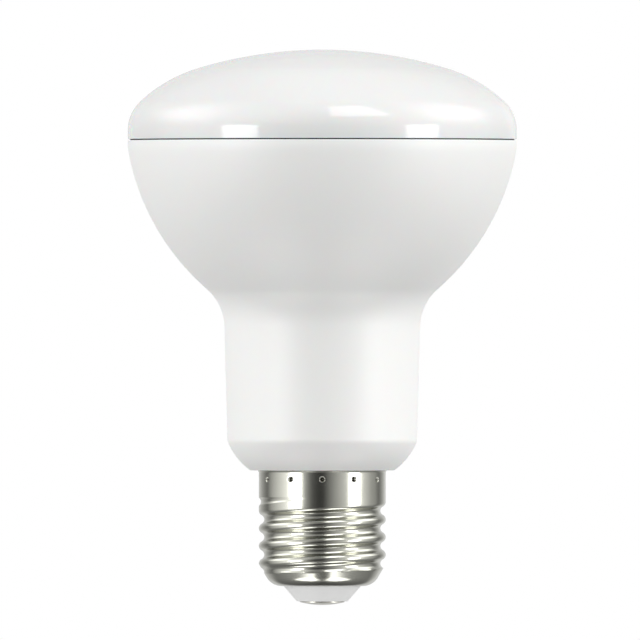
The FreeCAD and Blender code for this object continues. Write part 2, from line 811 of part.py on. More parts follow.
def thread_section(skin):
    """The groove's section as (along, radius) points, set in by a skin.

    Two arcs of one radius meet halfway up the flank: the root's, and the start of the crest's. Beyond
    them the flank goes on at 45 degrees to just outside the crest, and then straight out.
    """
    pitch, depth = size.thread_pitch.number, size.thread_depth.number
    root, crest = root_radius.number, cap_radius.number
    knuckle = ((pitch / 2) ** 2 + depth**2) / (4 * depth)
    section = []
    for step in range(-CREST_STEP, CREST_STEP + 1):
        along = pitch / 2 * step / HALF_PITCH_STEPS
        if abs(step) <= HALF_PITCH_STEPS / 2:
            radius = root + knuckle - math.sqrt(knuckle**2 - along**2)
        else:
            radius = crest - knuckle + math.sqrt(knuckle**2 - (pitch / 2 - abs(along)) ** 2)
        section.append((along, radius - skin))
    clear_radius = crest - skin + CLEAR_OF_CREST * depth
    flank_end = section[-1][0] + clear_radius - section[-1][1]
    outside = crest + OUTSIDE_CREST * depth
    below = [(-flank_end, outside), (-flank_end, clear_radius)]
    above = [(flank_end, clear_radius), (flank_end, outside)]
    return below + section + above


def thread_groove(label, skin):
    """The helical groove as a solid. It climbs one pitch a turn, and lifts out of the metal at both ends.

    Its sides are strips between two curves, each strip cut into stretches of half a turn.
    """
    pitch = size.thread_pitch.number

    def turn_at(height):
        return (height.number - size.thread_start_height.number) / pitch

    low_end, high_end = turn_at(thread_low), turn_at(thread_high)
    low_full = turn_at(thread_low + size.thread_low_fade)
    high_full = turn_at(thread_high - size.thread_high_fade)
    count = round((high_end - low_end) * POINTS_PER_TURN)
    turns = [low_end + (high_end - low_end) * step / count for step in range(count + 1)]

    def lift(turn):
        """None while the groove is full, and just over its depth at either end, eased as 3 t^2 - 2 t^3."""
        low_fade = (low_full - turn) / (low_full - low_end)
        high_fade = (turn - high_full) / (high_end - high_full)
        faded = max(0.0, low_fade, high_fade)
        return (1 + CLEAR_OF_CREST) * size.thread_depth.number * faded**2 * (3 - 2 * faded)

    section = thread_section(skin)
    rims = (section[0], section[-1])
    first = math.ceil((low_end + SHORTEST_STRETCH - STRETCH_START) / STRETCH_TURNS)
    last = math.floor((high_end - SHORTEST_STRETCH - STRETCH_START) / STRETCH_TURNS)
    marks = [STRETCH_START + STRETCH_TURNS * count for count in range(first, last + 1)]
    marks = [low_end, *marks, high_end]
    curves = []
    for along, radius in section:
        points = []
        for turn in turns:
            reach = radius if (along, radius) in rims else radius + lift(turn)
            angle = 2 * math.pi * turn
            height = size.thread_start_height.number + pitch * turn + along
            points.append(Vector(reach * math.cos(angle), reach * math.sin(angle), height))
        curve = Part.BSplineCurve()
        curve.interpolate(Points=points, Parameters=turns)
        stretches = []
        for start, end in zip(marks, marks[1:]):
            stretch = curve.copy()
            stretch.segment(start, end)
            stretches.append(Part.Wire(stretch.toShape()))
        curves.append(stretches)
    faces = []
    for stretches, others in zip(curves, curves[1:] + curves[:1]):
        for stretch, other in zip(stretches, others):
            faces.append(Part.makeLoft([stretch, other], False, True).Face1)
    for end in (0, -1):
        corners = [stretches[end].OrderedVertexes[end].Point for stretches in curves]
        faces.append(Part.Face(Part.makePolygon(corners + corners[:1])))
    shell = Part.makeShell(faces)
    shell.sewShape()
    groove = doc.addObject("Part::Feature", label)
    groove.Label = label
    groove.Shape = Part.Solid(shell)
    return groove


thread_low = size.cap_base_height + size.thread_low_gap
thread_high = collar_bottom - size.thread_high_gap
grooved_outside = without("grooved_outside", cap_outside, thread_groove("groove_outside", 0.0))
grooved_inside = without("grooved_inside", cap_inside, thread_groove("groove_inside", size.cap_sheet.number))
cap_formed = without("cap_formed", grooved_outside, grooved_inside)
doc.recompute()
cap_shell = new_body("cap_shell")
cap_shell.BaseFeature = cap_formed
doc.recompute()
dent_cone(
    cap_shell, "dent_bump", "AdditiveCone",
    bump_end, cap_inside_radius + size.cap_sheet / 2, bump_floor_radius, bump_radius,
)
dent_cone(
    cap_shell, "dent", "SubtractiveCone",
    dent_floor, cap_radius + size.dent_clearance, size.dent_floor_diameter / 2, size.dent_diameter / 2,
)


# Insulator: a white cone that fills the cap's hole, with a flange that seats on the metal from inside.
cap_insulator = new_body("cap_insulator")
rivet_hole = size.rivet_diameter / 2 + size.rivet_clearance
insulator_neck = hole_radius - size.insulator_clearance
flange_seat = size.cap_base_height + size.cap_sheet + size.insulator_clearance
flange_radius = hole_radius + size.insulator_flange_overlap
contact_radius = size.contact_diameter / 2
insulator_top = flange_seat + size.insulator_flange_thickness
turned(cap_insulator, Outline(cap_insulator, "insulator_section").corners([
    (rivet_hole, size.insulator_base_height),
    (contact_radius + size.insulator_rim, size.insulator_base_height),
    (insulator_neck, size.cap_base_height),
    (insulator_neck, flange_seat),
    (flange_radius, flange_seat),
    (flange_radius, insulator_top),
    (rivet_hole, insulator_top),
]))


# Centre contact: a domed rivet through the insulator, clinched over inside.
centre_contact = new_body("centre_contact")
outline = Outline(centre_contact, "contact_section")
rivet_radius = size.rivet_diameter / 2
dome_edge = size.insulator_base_height - size.contact_edge
clinch_radius = size.clinch_diameter / 2
clinch_top = insulator_top + size.clinch_height
rivet_top = insulator_top + size.rivet_stand
dome_radius = (contact_radius.number**2 + dome_edge.number**2) / (2 * dome_edge.number)
dome = outline.arc((0.0, dome_radius), (0.0, 0.0), (contact_radius.number, dome_edge.number))
places = [
    (contact_radius, dome_edge),
    (contact_radius, size.insulator_base_height),
    (rivet_radius, size.insulator_base_height),
    (rivet_radius, insulator_top),
    (clinch_radius, insulator_top),
    (clinch_radius, clinch_top),
    (rivet_radius, clinch_top),
    (rivet_radius, rivet_top),
    (nothing, rivet_top),
]
for start, end in zip(places, places[1:]):
    side = outline.line((start[0].number, start[1].number), (end[0].number, end[1].number))
    outline.pin(side, 1, *start)
axis = outline.line((0.0, rivet_top.number), (0.0, 0.0))
outline.close()
outline.pin(axis, 1, nothing, rivet_top)
outline.pin(axis, 2, nothing, nothing)
outline.pin(dome, 3, across=nothing)
turned(centre_contact, outline.sketch)


# Heat plate: an aluminium disc on the housing's ledge, drilled for its screws, the board's and the leads.
heat_plate = new_body("heat_plate")
plate_sketch = Outline(heat_plate, "plate_round", "XY_Plane")
round_hole(plate_sketch, plate_radius)
round_hole(plate_sketch, size.lead_hole_diameter / 2, nothing, size.lead_hole_offset)
padded(heat_plate, plate_sketch.sketch, ledge_height, plate_top)


def holes(body, name, radius, place, low, high, count):
    """Screw holes through a flat piece, evenly round the lamp's axis."""
    sketch = Outline(body, name, "XY_Plane")
    round_hole(sketch, radius, place, nothing)
    repeated(body, padded(body, sketch.sketch, low, high, cut=True), count)


board_radius = boss_place - size.plate_screw_head_diameter / 2 - size.board_margin
led_outer_ring = board_radius - size.led_outer_inset
led_inner_ring = led_outer_ring * size.led_inner_share
board_screw_place = (led_outer_ring + led_inner_ring) / 2
plate_hole = size.plate_screw_diameter / 2 + size.screw_hole_clearance
board_hole = size.board_screw_diameter / 2 + size.screw_hole_clearance
tapped_hole = size.board_screw_diameter / 2 + size.screw_fit
holes(heat_plate, "plate_screw_hole", plate_hole, boss_place, ledge_height, plate_top, size.plate_screw_count)
holes(
    heat_plate, "tapped_hole", tapped_hole, board_screw_place, ledge_height, plate_top, size.board_screw_count
)

# Light board: an aluminium-cored disc, screwed flat on the plate.
led_board = new_body("led_board")
board_sketch = Outline(led_board, "board_round", "XY_Plane")
round_hole(board_sketch, board_radius)
round_hole(board_sketch, size.lead_hole_diameter / 2, nothing, size.lead_hole_offset)
padded(led_board, board_sketch.sketch, plate_top, light_board_top)
holes(
    led_board, "board_screw_hole", board_hole, board_screw_place, plate_top, light_board_top,
    size.board_screw_count,
)


def screws(label, count, place, seat_height, diameter, length, head_diameter, head_height):
    """A ring of like screws: a round head on its seat and a plain shank below it."""
    ring = []
    for number in range(count):
        angle = 360 * number / count
        across = place * math.cos(math.radians(angle))
        deep = place * math.sin(math.radians(angle))
        stem = rod(f"{label}_shank_{number + 1}", diameter, length, across=across, deep=deep,
                   up=seat_height - length)
        head = rod(f"{label}_head_{number + 1}", head_diameter, head_height, across=across, deep=deep,
                   up=seat_height)
        ring.append(fused(f"{label}_{number + 1}", [stem, head]))
    group = doc.addObject("Part::Compound", label)
    group.Label = label
    group.Links = ring
    return group


plate_screws = screws(
    "plate_screws", SIZES["plate_screw_count"], boss_place, plate_top, size.plate_screw_diameter,
    size.plate_screw_length, size.plate_screw_head_diameter, size.plate_screw_head_height,
)
board_screws = screws(
    "board_screws", SIZES["board_screw_count"], board_screw_place, light_board_top,
    size.board_screw_diameter, size.board_screw_length, size.board_screw_head_diameter,
    size.board_screw_head_height,
)


def led(label, place, angle):
    """One light-emitting package: a low block with a sunk window, turned to its place on the board."""
    half_length, half_width = size.led_length / 2, size.led_width / 2
    package = block(f"{label}_package", (-half_length, half_length), (-half_width, half_width),
                    (nothing, size.led_height))
    window_length, window_width = half_length - size.led_window_margin, half_width - size.led_window_margin
    window = block(f"{label}_window", (-window_length, window_length), (-window_width, window_width),
                   (size.led_height - size.led_window_depth, size.led_height + size.led_window_depth))
    chip = without(label, package, window)
    return move(chip, place * math.cos(math.radians(angle)), place * math.sin(math.radians(angle)),
                light_board_top, Rotation(Vector(0, 0, 1), angle))


# Lights: two rings of white packages on the board.
leds = []
for ring_radius, ring_count in (
    (led_outer_ring, SIZES["led_outer_count"]),
    (led_inner_ring, SIZES["led_inner_count"]),
):
    for number in range(ring_count):
        leds.append(led(f"led_{len(leds) + 1:02d}", ring_radius, 360 * number / ring_count))

# Connector: the small block on the light board that the two leads end in.
connector_half = size.connector_length / 2
connector_face = size.lead_hole_offset - size.lead_hole_diameter / 2 - size.connector_gap
board_connector = block(
    "board_connector",
    (-connector_half, connector_half),
    (connector_face - size.connector_width, connector_face),
    (light_board_top, light_board_top + size.connector_height),
)


# Driver board: a T of glass-fibre board; its wide part stands in the rails, its tail hangs into the cap.
board_face = size.driver_thickness / 2
tail_bottom = driver_base - size.tail_length
driver_board = fused("driver_board", [
    block("driver_board_wide", (-driver_half_width, driver_half_width), (-board_face, board_face),
          (driver_base, driver_top)),
    block("driver_board_tail", (-size.tail_width / 2, size.tail_width / 2), (-board_face, board_face),
          (tail_bottom, driver_base)),
])

# Transformer: a ferrite core with two windows, a bobbin on its middle leg and the winding between flanges.
bobbin_half_depth = size.bobbin_flange_depth / 2
core_middle = board_face + bobbin_half_depth
core_base = driver_base + size.transformer_rise
core_top = core_base + size.core_height
core_half = size.core_width / 2
window_outer = core_half - size.core_outer_leg
core_deep = about(core_middle, size.core_depth)
window_up = (core_base + size.core_yoke, core_top - size.core_yoke)
leg_half = size.core_leg / 2
transformer_core = without(
    "transformer_core",
    block("core_block", (-core_half, core_half), core_deep, (core_base, core_top)),
    fused("core_windows", [
        block("core_window_right", (leg_half, window_outer), core_deep, window_up),
        block("core_window_left", (-window_outer, -leg_half), core_deep, window_up),
    ]),
)
bobbin_up = (window_up[0] + size.transformer_clearance, window_up[1] - size.transformer_clearance)
flange_half = window_outer - size.transformer_clearance
bore_half = leg_half + size.transformer_clearance
bore_half_depth = size.core_depth / 2 + size.transformer_clearance
tube_half = bore_half + size.bobbin_wall
tube_half_depth = bore_half_depth + size.bobbin_wall


def upright_block(label, half, half_depth, up):
    """A block centred on the transformer's middle leg."""
    return block(label, (-half, half), (core_middle - half_depth, core_middle + half_depth), up)


low_flange = (bobbin_up[0], bobbin_up[0] + size.bobbin_flange_thickness)
high_flange = (bobbin_up[1] - size.bobbin_flange_thickness, bobbin_up[1])
transformer_bobbin = without(
    "transformer_bobbin",
    fused("bobbin_block", [
        upright_block("bobbin_tube", tube_half, tube_half_depth, bobbin_up),
        upright_block("bobbin_low_flange", flange_half, bobbin_half_depth, low_flange),
        upright_block("bobbin_high_flange", flange_half, bobbin_half_depth, high_flange),
    ]),
    upright_block("bobbin_bore", bore_half, bore_half_depth, bobbin_up),
)
winding_up = (low_flange[1], high_flange[0])
transformer_winding = without(
    "transformer_winding",
    upright_block("winding_block", flange_half - size.winding_inset, bobbin_half_depth - size.winding_inset,
                  winding_up),
    upright_block("winding_bore", tube_half, tube_half_depth, winding_up),
)


def can(label, diameter, length, across, rise):
    """A sealed electrolytic can beside the board: one solid with bevelled ends, standing along it."""
    body = new_body(label)
    radius, bevel = diameter / 2, size.can_edge
    turned(body, Outline(body, f"{label}_section").corners([
        (nothing, nothing),
        (radius - bevel, nothing),
        (radius, bevel),
        (radius, length - bevel),
        (radius - bevel, length),
        (nothing, length),
    ]))
    return move(body, across, -(board_face + radius + size.part_clearance), driver_base + rise)


# Parts on the two faces of the driver board.
row_edge = driver_half_width - size.row_inset
input_capacitor = can(
    "input_capacitor", size.input_can_diameter, size.input_can_length,
    row_edge - size.input_can_diameter / 2, size.input_can_rise,
)
output_capacitor = can(
    "output_capacitor", size.output_can_diameter, size.output_can_length,
    size.output_can_diameter / 2 - row_edge, size.output_can_rise,
)
film_base = driver_base + size.film_rise
film_capacitor = block(
    "film_capacitor", about(nothing, size.film_length), (board_face, board_face + size.film_depth),
    (film_base, film_base + size.film_height),
)
bridge_base = driver_base + size.bridge_rise
bridge_rectifier = block(
    "bridge_rectifier", (-row_edge, size.bridge_width - row_edge),
    (-board_face - size.bridge_depth, -board_face), (bridge_base, bridge_base + size.bridge_height),
)
chip_base = driver_base + size.chip_rise
controller_chip = block(
    "controller_chip", about(-size.chip_offset, size.chip_width),
    (-board_face - size.chip_depth, -board_face), (chip_base, chip_base + size.chip_height),
)
flyback_diode = rod(
    "flyback_diode", size.diode_diameter, size.diode_length,
    across=row_edge, deep=board_face + size.diode_diameter / 2 + size.part_clearance,
    up=driver_base + size.diode_rise,
)
fuse_resistor = rod(
    "fuse_resistor", size.fuse_diameter, size.fuse_length,
    across=size.fuse_offset, deep=-(board_face + size.fuse_diameter / 2 + size.part_clearance),
    up=driver_base - size.fuse_drop,
)

# Choke: a drum core lying against the board, its winding between the two flanges.
line_choke = new_body("line_choke")
choke_radius = size.choke_diameter / 2
choke_waist = size.choke_waist_diameter / 2
turned(line_choke, Outline(line_choke, "choke_section").corners([
    (nothing, nothing),
    (choke_radius, nothing),
    (choke_radius, size.choke_flange),
    (choke_waist, size.choke_flange),
    (choke_waist, size.choke_length - size.choke_flange),
    (choke_radius, size.choke_length - size.choke_flange),
    (choke_radius, size.choke_length),
    (nothing, size.choke_length),
]))
move(line_choke, row_edge - choke_radius, -board_face, driver_base + size.choke_rise,
     Rotation(Vector(1, 0, 0), 90))


VOLUME_TOLERANCE = 0.01


def lead(label, places):
    """An insulated lead: a round section swept along straight runs joined by tangent arcs."""
    bend, radius = size.lead_bend.number, size.lead_diameter.number / 2
    points = [Vector(*(plain(distance) for distance in place)) for place in places]
    edges, start = [], points[0]
    for corner, after in zip(points[1:], points[2:]):
        before_way = (corner - start).normalize()
        after_way = (after - corner).normalize()
        half_turn = before_way.getAngle(after_way) / 2
        back = bend * math.tan(half_turn)
        first, last = corner - before_way * back, corner + after_way * back
        middle = corner + (after_way - before_way).normalize() * bend * (1 / math.cos(half_turn) - 1)
        edges += [Part.LineSegment(start, first).toShape(), Part.Arc(first, middle, last).toShape()]
        start = last
    edges.append(Part.LineSegment(start, points[-1]).toShape())
    route = Part.Wire(edges)
    section = Part.Wire(Part.Circle(points[0], points[1] - points[0], radius).toShape())
    wire = doc.addObject("Part::Feature", label)
    wire.Label = label
    wire.Shape = route.makePipeShell([section], True, False)
    expected = math.pi * radius**2 * route.Length
    if abs(wire.Shape.Volume / expected - 1) > VOLUME_TOLERANCE:
        raise ValueError(f"{label} has a volume of {wire.Shape.Volume:.2f}, not {expected:.2f}")
    return wire


# Leads: two from the driver's tail to the cap, and two up through the plate to the connector.
lead_radius = size.lead_diameter / 2
lead_face = board_face + lead_radius + size.part_clearance
tail_start = tail_bottom + size.lead_overlap
turn_height = tail_bottom - size.lead_bend
neutral_turns = 1.5
cap_turn_height = size.thread_start_height + size.thread_pitch * neutral_turns
live_lead = lead("live_lead", [
    (size.lead_offset, lead_face, tail_start),
    (size.lead_offset, lead_face, turn_height),
    (nothing, nothing, rivet_top + size.lead_end_run),
    (nothing, nothing, rivet_top),
])
neutral_lead = lead("neutral_lead", [
    (-size.lead_offset, lead_face, tail_start),
    (-size.lead_offset, lead_face, cap_turn_height),
    (size.neutral_gap + size.cap_sheet - root_radius, lead_face, cap_turn_height),
])
connector_mid = light_board_top + size.connector_height / 2
half_spacing = size.led_lead_spacing / 2
led_lead_start = driver_top - size.lead_overlap
led_lead_rise = ledge_height - led_lead_start
led_leads = [
    lead(label, [
        (size.lead_offset * way, lead_face, led_lead_start),
        (size.lead_offset * way, lead_face, led_lead_start + led_lead_rise * size.lead_low_share),
        (half_spacing * way, size.lead_hole_offset, ledge_height - led_lead_rise * size.lead_high_share),
        (half_spacing * way, size.lead_hole_offset, connector_mid),
        (half_spacing * way, connector_face, connector_mid),
    ])
    for label, way in (("led_lead_positive", 1), ("led_lead_negative", -1))
]


# Every piece of the lamp, checked and then written.
pieces = [
    diffuser, seam_bead, housing, cap_shell, cap_insulator, centre_contact,
    heat_plate, plate_screws, led_board, board_screws, *leds, board_connector,
    driver_board, transformer_core, transformer_bobbin, transformer_winding,
    input_capacitor, output_capacitor, film_capacitor, bridge_rectifier, controller_chip,
    flyback_diode, fuse_resistor, line_choke, live_lead, neutral_lead, *led_leads,
]
doc.recompute()
for thing in doc.Objects:
    if "Invalid" in thing.State or "Error" in thing.State:
        raise ValueError(f"{thing.Label} failed to build")
for piece in pieces:
    if piece.Shape.isNull() or not piece.Shape.isValid() or not piece.Shape.Solids:
        raise ValueError(f"{piece.Label} is not a sound solid")
for piece in pieces:
    piece.Shape.exportStep(f"parts/{piece.Label}.step")
    print(f"{piece.Label}: {len(piece.Shape.Solids)} solid, {piece.Shape.Volume:.1f} mm3")
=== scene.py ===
"""Reflector lamp with a screw cap, dressed for its picture: opal front, satin white housing, nickel cap.

Shapes are worked out in millimetres about the lamp's axis and put into the meshes in metres. The sections
follow the lamp as it is put together, from the contact at the bottom to the diffuser on top.
"""
import math
import bpy
import numpy as np
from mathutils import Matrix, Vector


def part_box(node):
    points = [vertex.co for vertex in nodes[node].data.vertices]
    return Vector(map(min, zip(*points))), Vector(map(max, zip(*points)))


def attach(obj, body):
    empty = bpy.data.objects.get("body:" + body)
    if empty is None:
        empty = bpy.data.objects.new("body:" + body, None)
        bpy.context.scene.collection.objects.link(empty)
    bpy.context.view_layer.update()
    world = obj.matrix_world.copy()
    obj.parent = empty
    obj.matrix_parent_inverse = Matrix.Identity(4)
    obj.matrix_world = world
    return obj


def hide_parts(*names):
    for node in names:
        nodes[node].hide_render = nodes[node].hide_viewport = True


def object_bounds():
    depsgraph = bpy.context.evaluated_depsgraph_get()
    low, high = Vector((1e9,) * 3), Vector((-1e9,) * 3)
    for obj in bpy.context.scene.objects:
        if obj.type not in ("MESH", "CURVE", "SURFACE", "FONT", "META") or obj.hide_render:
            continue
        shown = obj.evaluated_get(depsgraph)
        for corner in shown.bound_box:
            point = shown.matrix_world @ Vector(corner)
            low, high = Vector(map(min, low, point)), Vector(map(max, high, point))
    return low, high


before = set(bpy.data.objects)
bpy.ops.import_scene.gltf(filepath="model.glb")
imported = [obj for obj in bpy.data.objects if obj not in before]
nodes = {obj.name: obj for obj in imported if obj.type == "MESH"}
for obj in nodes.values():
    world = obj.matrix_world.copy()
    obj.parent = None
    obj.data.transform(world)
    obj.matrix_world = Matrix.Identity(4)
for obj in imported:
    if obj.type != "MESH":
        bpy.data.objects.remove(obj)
cad_box = [list(corner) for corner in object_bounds()]
MM = 0.001


# Centre contact: a nickel-plated brass rivet. Its wide, shallow head is the lamp's lowest point and
# carries the live side; the shank goes up through the insulator and is clinched over inside.
CONTACT_RADIUS = 4.6
CONTACT_EDGE_HEIGHT = 0.6
CONTACT_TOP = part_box("centre_contact")[1][2] / MM
INSULATOR_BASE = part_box("cap_insulator")[0][2] / MM
INSULATOR_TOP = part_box("cap_insulator")[1][2] / MM
RIVET_RADIUS = 1.2
CLINCH_RADIUS = 2.0
CLINCH_HEIGHT = 0.5
CONTACT_ROUNDS = [0.06, 0, 0, 0.1, 0.15, 0.05, 0.1]
CONTACT_COLUMNS = 96
SAME_PLACE = 1e-6
SHARP_TURN = 35.0
ROUND_STEPS = 5


def arc(centre, radius, start, end, steps):
    """Points of a round about a centre: centre + radius * (cos, sin) for angles evenly from start to end."""
    angles = np.radians(np.linspace(start, end, steps))
    return np.column_stack([centre[0] + radius * np.cos(angles), centre[1] + radius * np.sin(angles)])


def straight(start, end, steps):
    """Points of a straight side: start + t * (end - start) for t evenly from 0 to 1."""
    return np.linspace(start, end, steps)


def softened(corners, radii):
    """An open chain of straight sides with its inner corners rounded.

    A round of radius r touches both sides at r * tan(half the turn) from the corner, and its points are the
    two touching points and the corner weighted by (1 - t)^2, t^2 and 2 t (1 - t).
    """
    corners = [np.array(corner, float) for corner in corners]
    chain = [corners[0][None]]
    share = np.linspace(0, 1, ROUND_STEPS)[:, None]
    for before, corner, after, radius in zip(corners, corners[1:], corners[2:], radii):
        into = (corner - before) / np.linalg.norm(corner - before)
        out = (after - corner) / np.linalg.norm(after - corner)
        back = radius * math.tan(math.acos(np.clip(into @ out, -1, 1)) / 2)
        first, last = corner - into * back, corner + out * back
        chain.append((1 - share) ** 2 * first + 2 * share * (1 - share) * corner + share**2 * last)
    chain.append(corners[-1][None])
    return np.concatenate(chain)


def joined(*stretches):
    """Stretches of one outline in a row, without each point that repeats the one before it."""
    outline = np.concatenate(stretches)
    apart = np.linalg.norm(np.diff(outline, axis=0), axis=1) > SAME_PLACE
    return outline[np.concatenate([[True], apart])]


def add_piece(name, points, faces, material, slot, *replaced):
    """A mesh piece that stands for CAD nodes, smooth but for the edges that turn over SHARP_TURN degrees.

    Points are in millimetres. Faces are arrays of point numbers, one array for each count of corners.
    """
    mesh = bpy.data.meshes.new(name)
    mesh.from_pydata((points * MM).tolist(), [], [face for group in faces for face in group.tolist()])
    mesh.polygons.foreach_set("use_smooth", np.ones(len(mesh.polygons), bool))
    mesh.set_sharp_from_angle(angle=math.radians(SHARP_TURN))
    mesh.validate()
    mesh.materials.append(material)
    piece = bpy.data.objects.new(name, mesh)
    bpy.context.scene.collection.objects.link(piece)
    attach(piece, "root")
    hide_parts(*replaced)


def ring_faces(rows, columns, closed):
    """Quads of a grid of rings round the axis.

    Each cell joins row i and i + 1, column j and j + 1, and the last column joins the first. In a closed
    grid the last row joins the first too.
    """
    row = np.arange(rows if closed else rows - 1)[:, None]
    column = np.arange(columns)[None, :]
    here, above = row * columns, (row + 1) % rows * columns
    beside = (column + 1) % columns
    corners = [here + column, here + beside, above + beside, above + column]
    return np.stack(corners, axis=-1).reshape(-1, 4)


def turned(outline, columns):
    """Points and faces of a form turned about the axis: point (r, z) goes round as (r cos a, r sin a, z).

    An outline that starts and ends on the axis gets one point there and a fan of triangles; any other is a
    closed ring. It runs anticlockwise in the right half plane, so the faces point outwards.
    """
    angles = np.linspace(0, 2 * np.pi, columns, endpoint=False)
    on_axis = outline[0, 0] < SAME_PLACE
    rings = outline[1:-1] if on_axis else outline
    radius, height = rings[:, :1], rings[:, 1:]
    points = np.stack([radius * np.cos(angles), radius * np.sin(angles), height + 0 * angles], axis=-1)
    points = points.reshape(-1, 3)
    faces = [ring_faces(len(rings), columns, closed=not on_axis)]
    if on_axis:
        first = np.arange(columns)
        after = (first + 1) % columns
        last_ring = len(points) - columns
        low_pole, high_pole = np.full(columns, len(points)), np.full(columns, len(points) + 1)
        faces.append(np.column_stack([low_pole, after, first]))
        faces.append(np.column_stack([high_pole, last_ring + first, last_ring + after]))
        points = np.concatenate([points, [[0, 0, outline[0, 1]], [0, 0, outline[-1, 1]]]])
    return points, faces


def turned_piece(name, outline, columns, material, slot):
    """A piece that is one turned form and stands for the CAD node of its own name."""
    add_piece(name, *turned(outline, columns), material, slot, name)


def linear(hex_colour):
    """An sRGB hex colour as linear red, green, blue and alpha.

    A channel c becomes c / 12.92 up to 0.04045, and ((c + 0.055) / 1.055)^2.4 above it.
    """
    channels = [int(hex_colour[place:place + 2], 16) / 255 for place in (1, 3, 5)]
    return [c / 12.92 if c <= 0.04045 else ((c + 0.055) / 1.055) ** 2.4 for c in channels] + [1.0]


def add_node(tree, kind, inputs=None, **settings):
    """One node in a tree: settings are its properties, and inputs give sockets a value or an output."""
    node = tree.nodes.new(kind)
    for name, value in settings.items():
        setattr(node, name, value)
    for socket, value in (inputs or {}).items():
        if isinstance(value, bpy.types.NodeSocket):
            tree.links.new(value, node.inputs[socket])
        else:
            node.inputs[socket].default_value = value
    return node


def grained(name, hex_low, hex_high, grain, roughness, depth, **shader):
    """A finish with a fine grain: noise mixes two close colours and dents the surface.

    The grain's size and depth are in millimetres, and shader gives further sockets of the shader.
    """
    material = bpy.data.materials.new(name)
    material.use_nodes = True
    tree = material.node_tree
    tree.nodes.clear()
    place = add_node(tree, "ShaderNodeTexCoord").outputs["Object"]
    noise = add_node(tree, "ShaderNodeTexNoise", {"Vector": place, "Scale": 1 / (grain * MM), "Detail": 3.0})
    colour = add_node(
        tree, "ShaderNodeMix",
        {"Factor": noise.outputs["Fac"], "A": linear(hex_low), "B": linear(hex_high)}, data_type="RGBA",
    )
    bump = add_node(
        tree, "ShaderNodeBump",
        {"Height": noise.outputs["Fac"], "Distance": depth * MM, "Strength": 1.0},
    )
    surface = add_node(
        tree, "ShaderNodeBsdfPrincipled",
        {
            "Base Color": colour.outputs["Result"],
            "Normal": bump.outputs["Normal"],
            "Roughness": roughness,
            **shader,
        },
    )
    add_node(tree, "ShaderNodeOutputMaterial", {"Surface": surface.outputs["BSDF"]})
    return material


# Nickel plate over brass: bright and a little warm, with a faint grain that blurs what it mirrors.
contact_nickel = grained("contact_nickel_plate", "#C9C7BC", "#D2D0C6", 0.6, 0.22, 0.002, Metallic=1.0)
contact_sphere = (CONTACT_RADIUS**2 + CONTACT_EDGE_HEIGHT**2) / (2 * CONTACT_EDGE_HEIGHT)
contact_half_angle = math.degrees(math.asin(CONTACT_RADIUS / contact_sphere))
contact_outline = joined(
    arc((0, contact_sphere), contact_sphere, -90, contact_half_angle - 90, 14),
    softened(
        [
            (CONTACT_RADIUS, CONTACT_EDGE_HEIGHT),
            (CONTACT_RADIUS, INSULATOR_BASE),
            (RIVET_RADIUS, INSULATOR_BASE),
            (RIVET_RADIUS, INSULATOR_TOP),
            (CLINCH_RADIUS, INSULATOR_TOP),
            (CLINCH_RADIUS, INSULATOR_TOP + CLINCH_HEIGHT),
            (RIVET_RADIUS, INSULATOR_TOP + CLINCH_HEIGHT),
            (RIVET_RADIUS, CONTACT_TOP),
            (0, CONTACT_TOP),
        ],
        CONTACT_ROUNDS,
    ),
)
turned_piece("centre_contact", contact_outline, CONTACT_COLUMNS, contact_nickel, "contact_metal")


# Insulator: a white moulded cone that fills the cap's hole and keeps the contact off the shell. A flange
# inside the cap holds it down; only the plain cone shows.
CONE_RADIUS = 5.2
CONE_TOP_RADIUS = 7.95
FLANGE_RADIUS = 8.8
FLANGE_SEAT = 4.25
CAP_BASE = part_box("cap_shell")[0][2] / MM
RIVET_HOLE = 1.25
CLOSING_STEP = 0.1
INSULATOR_ROUNDS = [0.05, 0.18, 0.1, 0, 0.1, 0.1, 0.05]
INSULATOR_COLUMNS = 128

# Moulded thermoset: an even, slightly dull white.
insulator_white = grained("moulded_insulator", "#F6F6F5", "#F9F9F8", 0.8, 0.5, 0.004, IOR=1.58)
# The outline is a ring that closes in the middle of the hole's wall.
hole_middle = (INSULATOR_BASE + INSULATOR_TOP) / 2
insulator_outline = softened(
    [
        (RIVET_HOLE, hole_middle),
        (RIVET_HOLE, INSULATOR_BASE),
        (CONE_RADIUS, INSULATOR_BASE),
        (CONE_TOP_RADIUS, CAP_BASE),
        (CONE_TOP_RADIUS, FLANGE_SEAT),
        (FLANGE_RADIUS, FLANGE_SEAT),
        (FLANGE_RADIUS, INSULATOR_TOP),
        (RIVET_HOLE, INSULATOR_TOP),
        (RIVET_HOLE, hole_middle + CLOSING_STEP),
    ],
    INSULATOR_ROUNDS,
)
turned_piece("cap_insulator", joined(insulator_outline), INSULATOR_COLUMNS, insulator_white, "insulator")


# Screw cap: thin sheet drawn to a cup, its thread rolled into inside and outside alike, nickel plated. It
# is pushed over the housing's collar and staked with twelve dents.
CREST_RADIUS = 13.05
ROOT_RADIUS = 11.95
PITCH = 3.629
FIRST_ROOT_HEIGHT = 8.52
SHEET = 0.3
HOLE_RADIUS = 8.0
SHOULDER_RADIUS = 3.6
LEAD_IN_ANGLE = 30.0
CAP_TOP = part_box("cap_shell")[1][2] / MM
RUN_IN = (-1.0, -0.5)
RUN_OUT = (3.1, 3.85)
LIFT = 1.1
PLAIN_TURN = 0.5
DENTS = 12
DENT_TURN = 2 * np.pi / DENTS
DENT_HEIGHT = CAP_TOP - 1.8
DENT_MOUTH = 0.65
DENT_FLOOR = 0.05
DENT_DEPTH = 0.6
DENT_MARGIN = 0.1
LIP_FLARE = 0.2
LIP_HEIGHT = 0.45


def eased(share):
    """0 below 0, 1 above 1, and t^2 (3 - 2 t) between."""
    share = np.clip(share, 0, 1)
    return share * share * (3 - 2 * share)


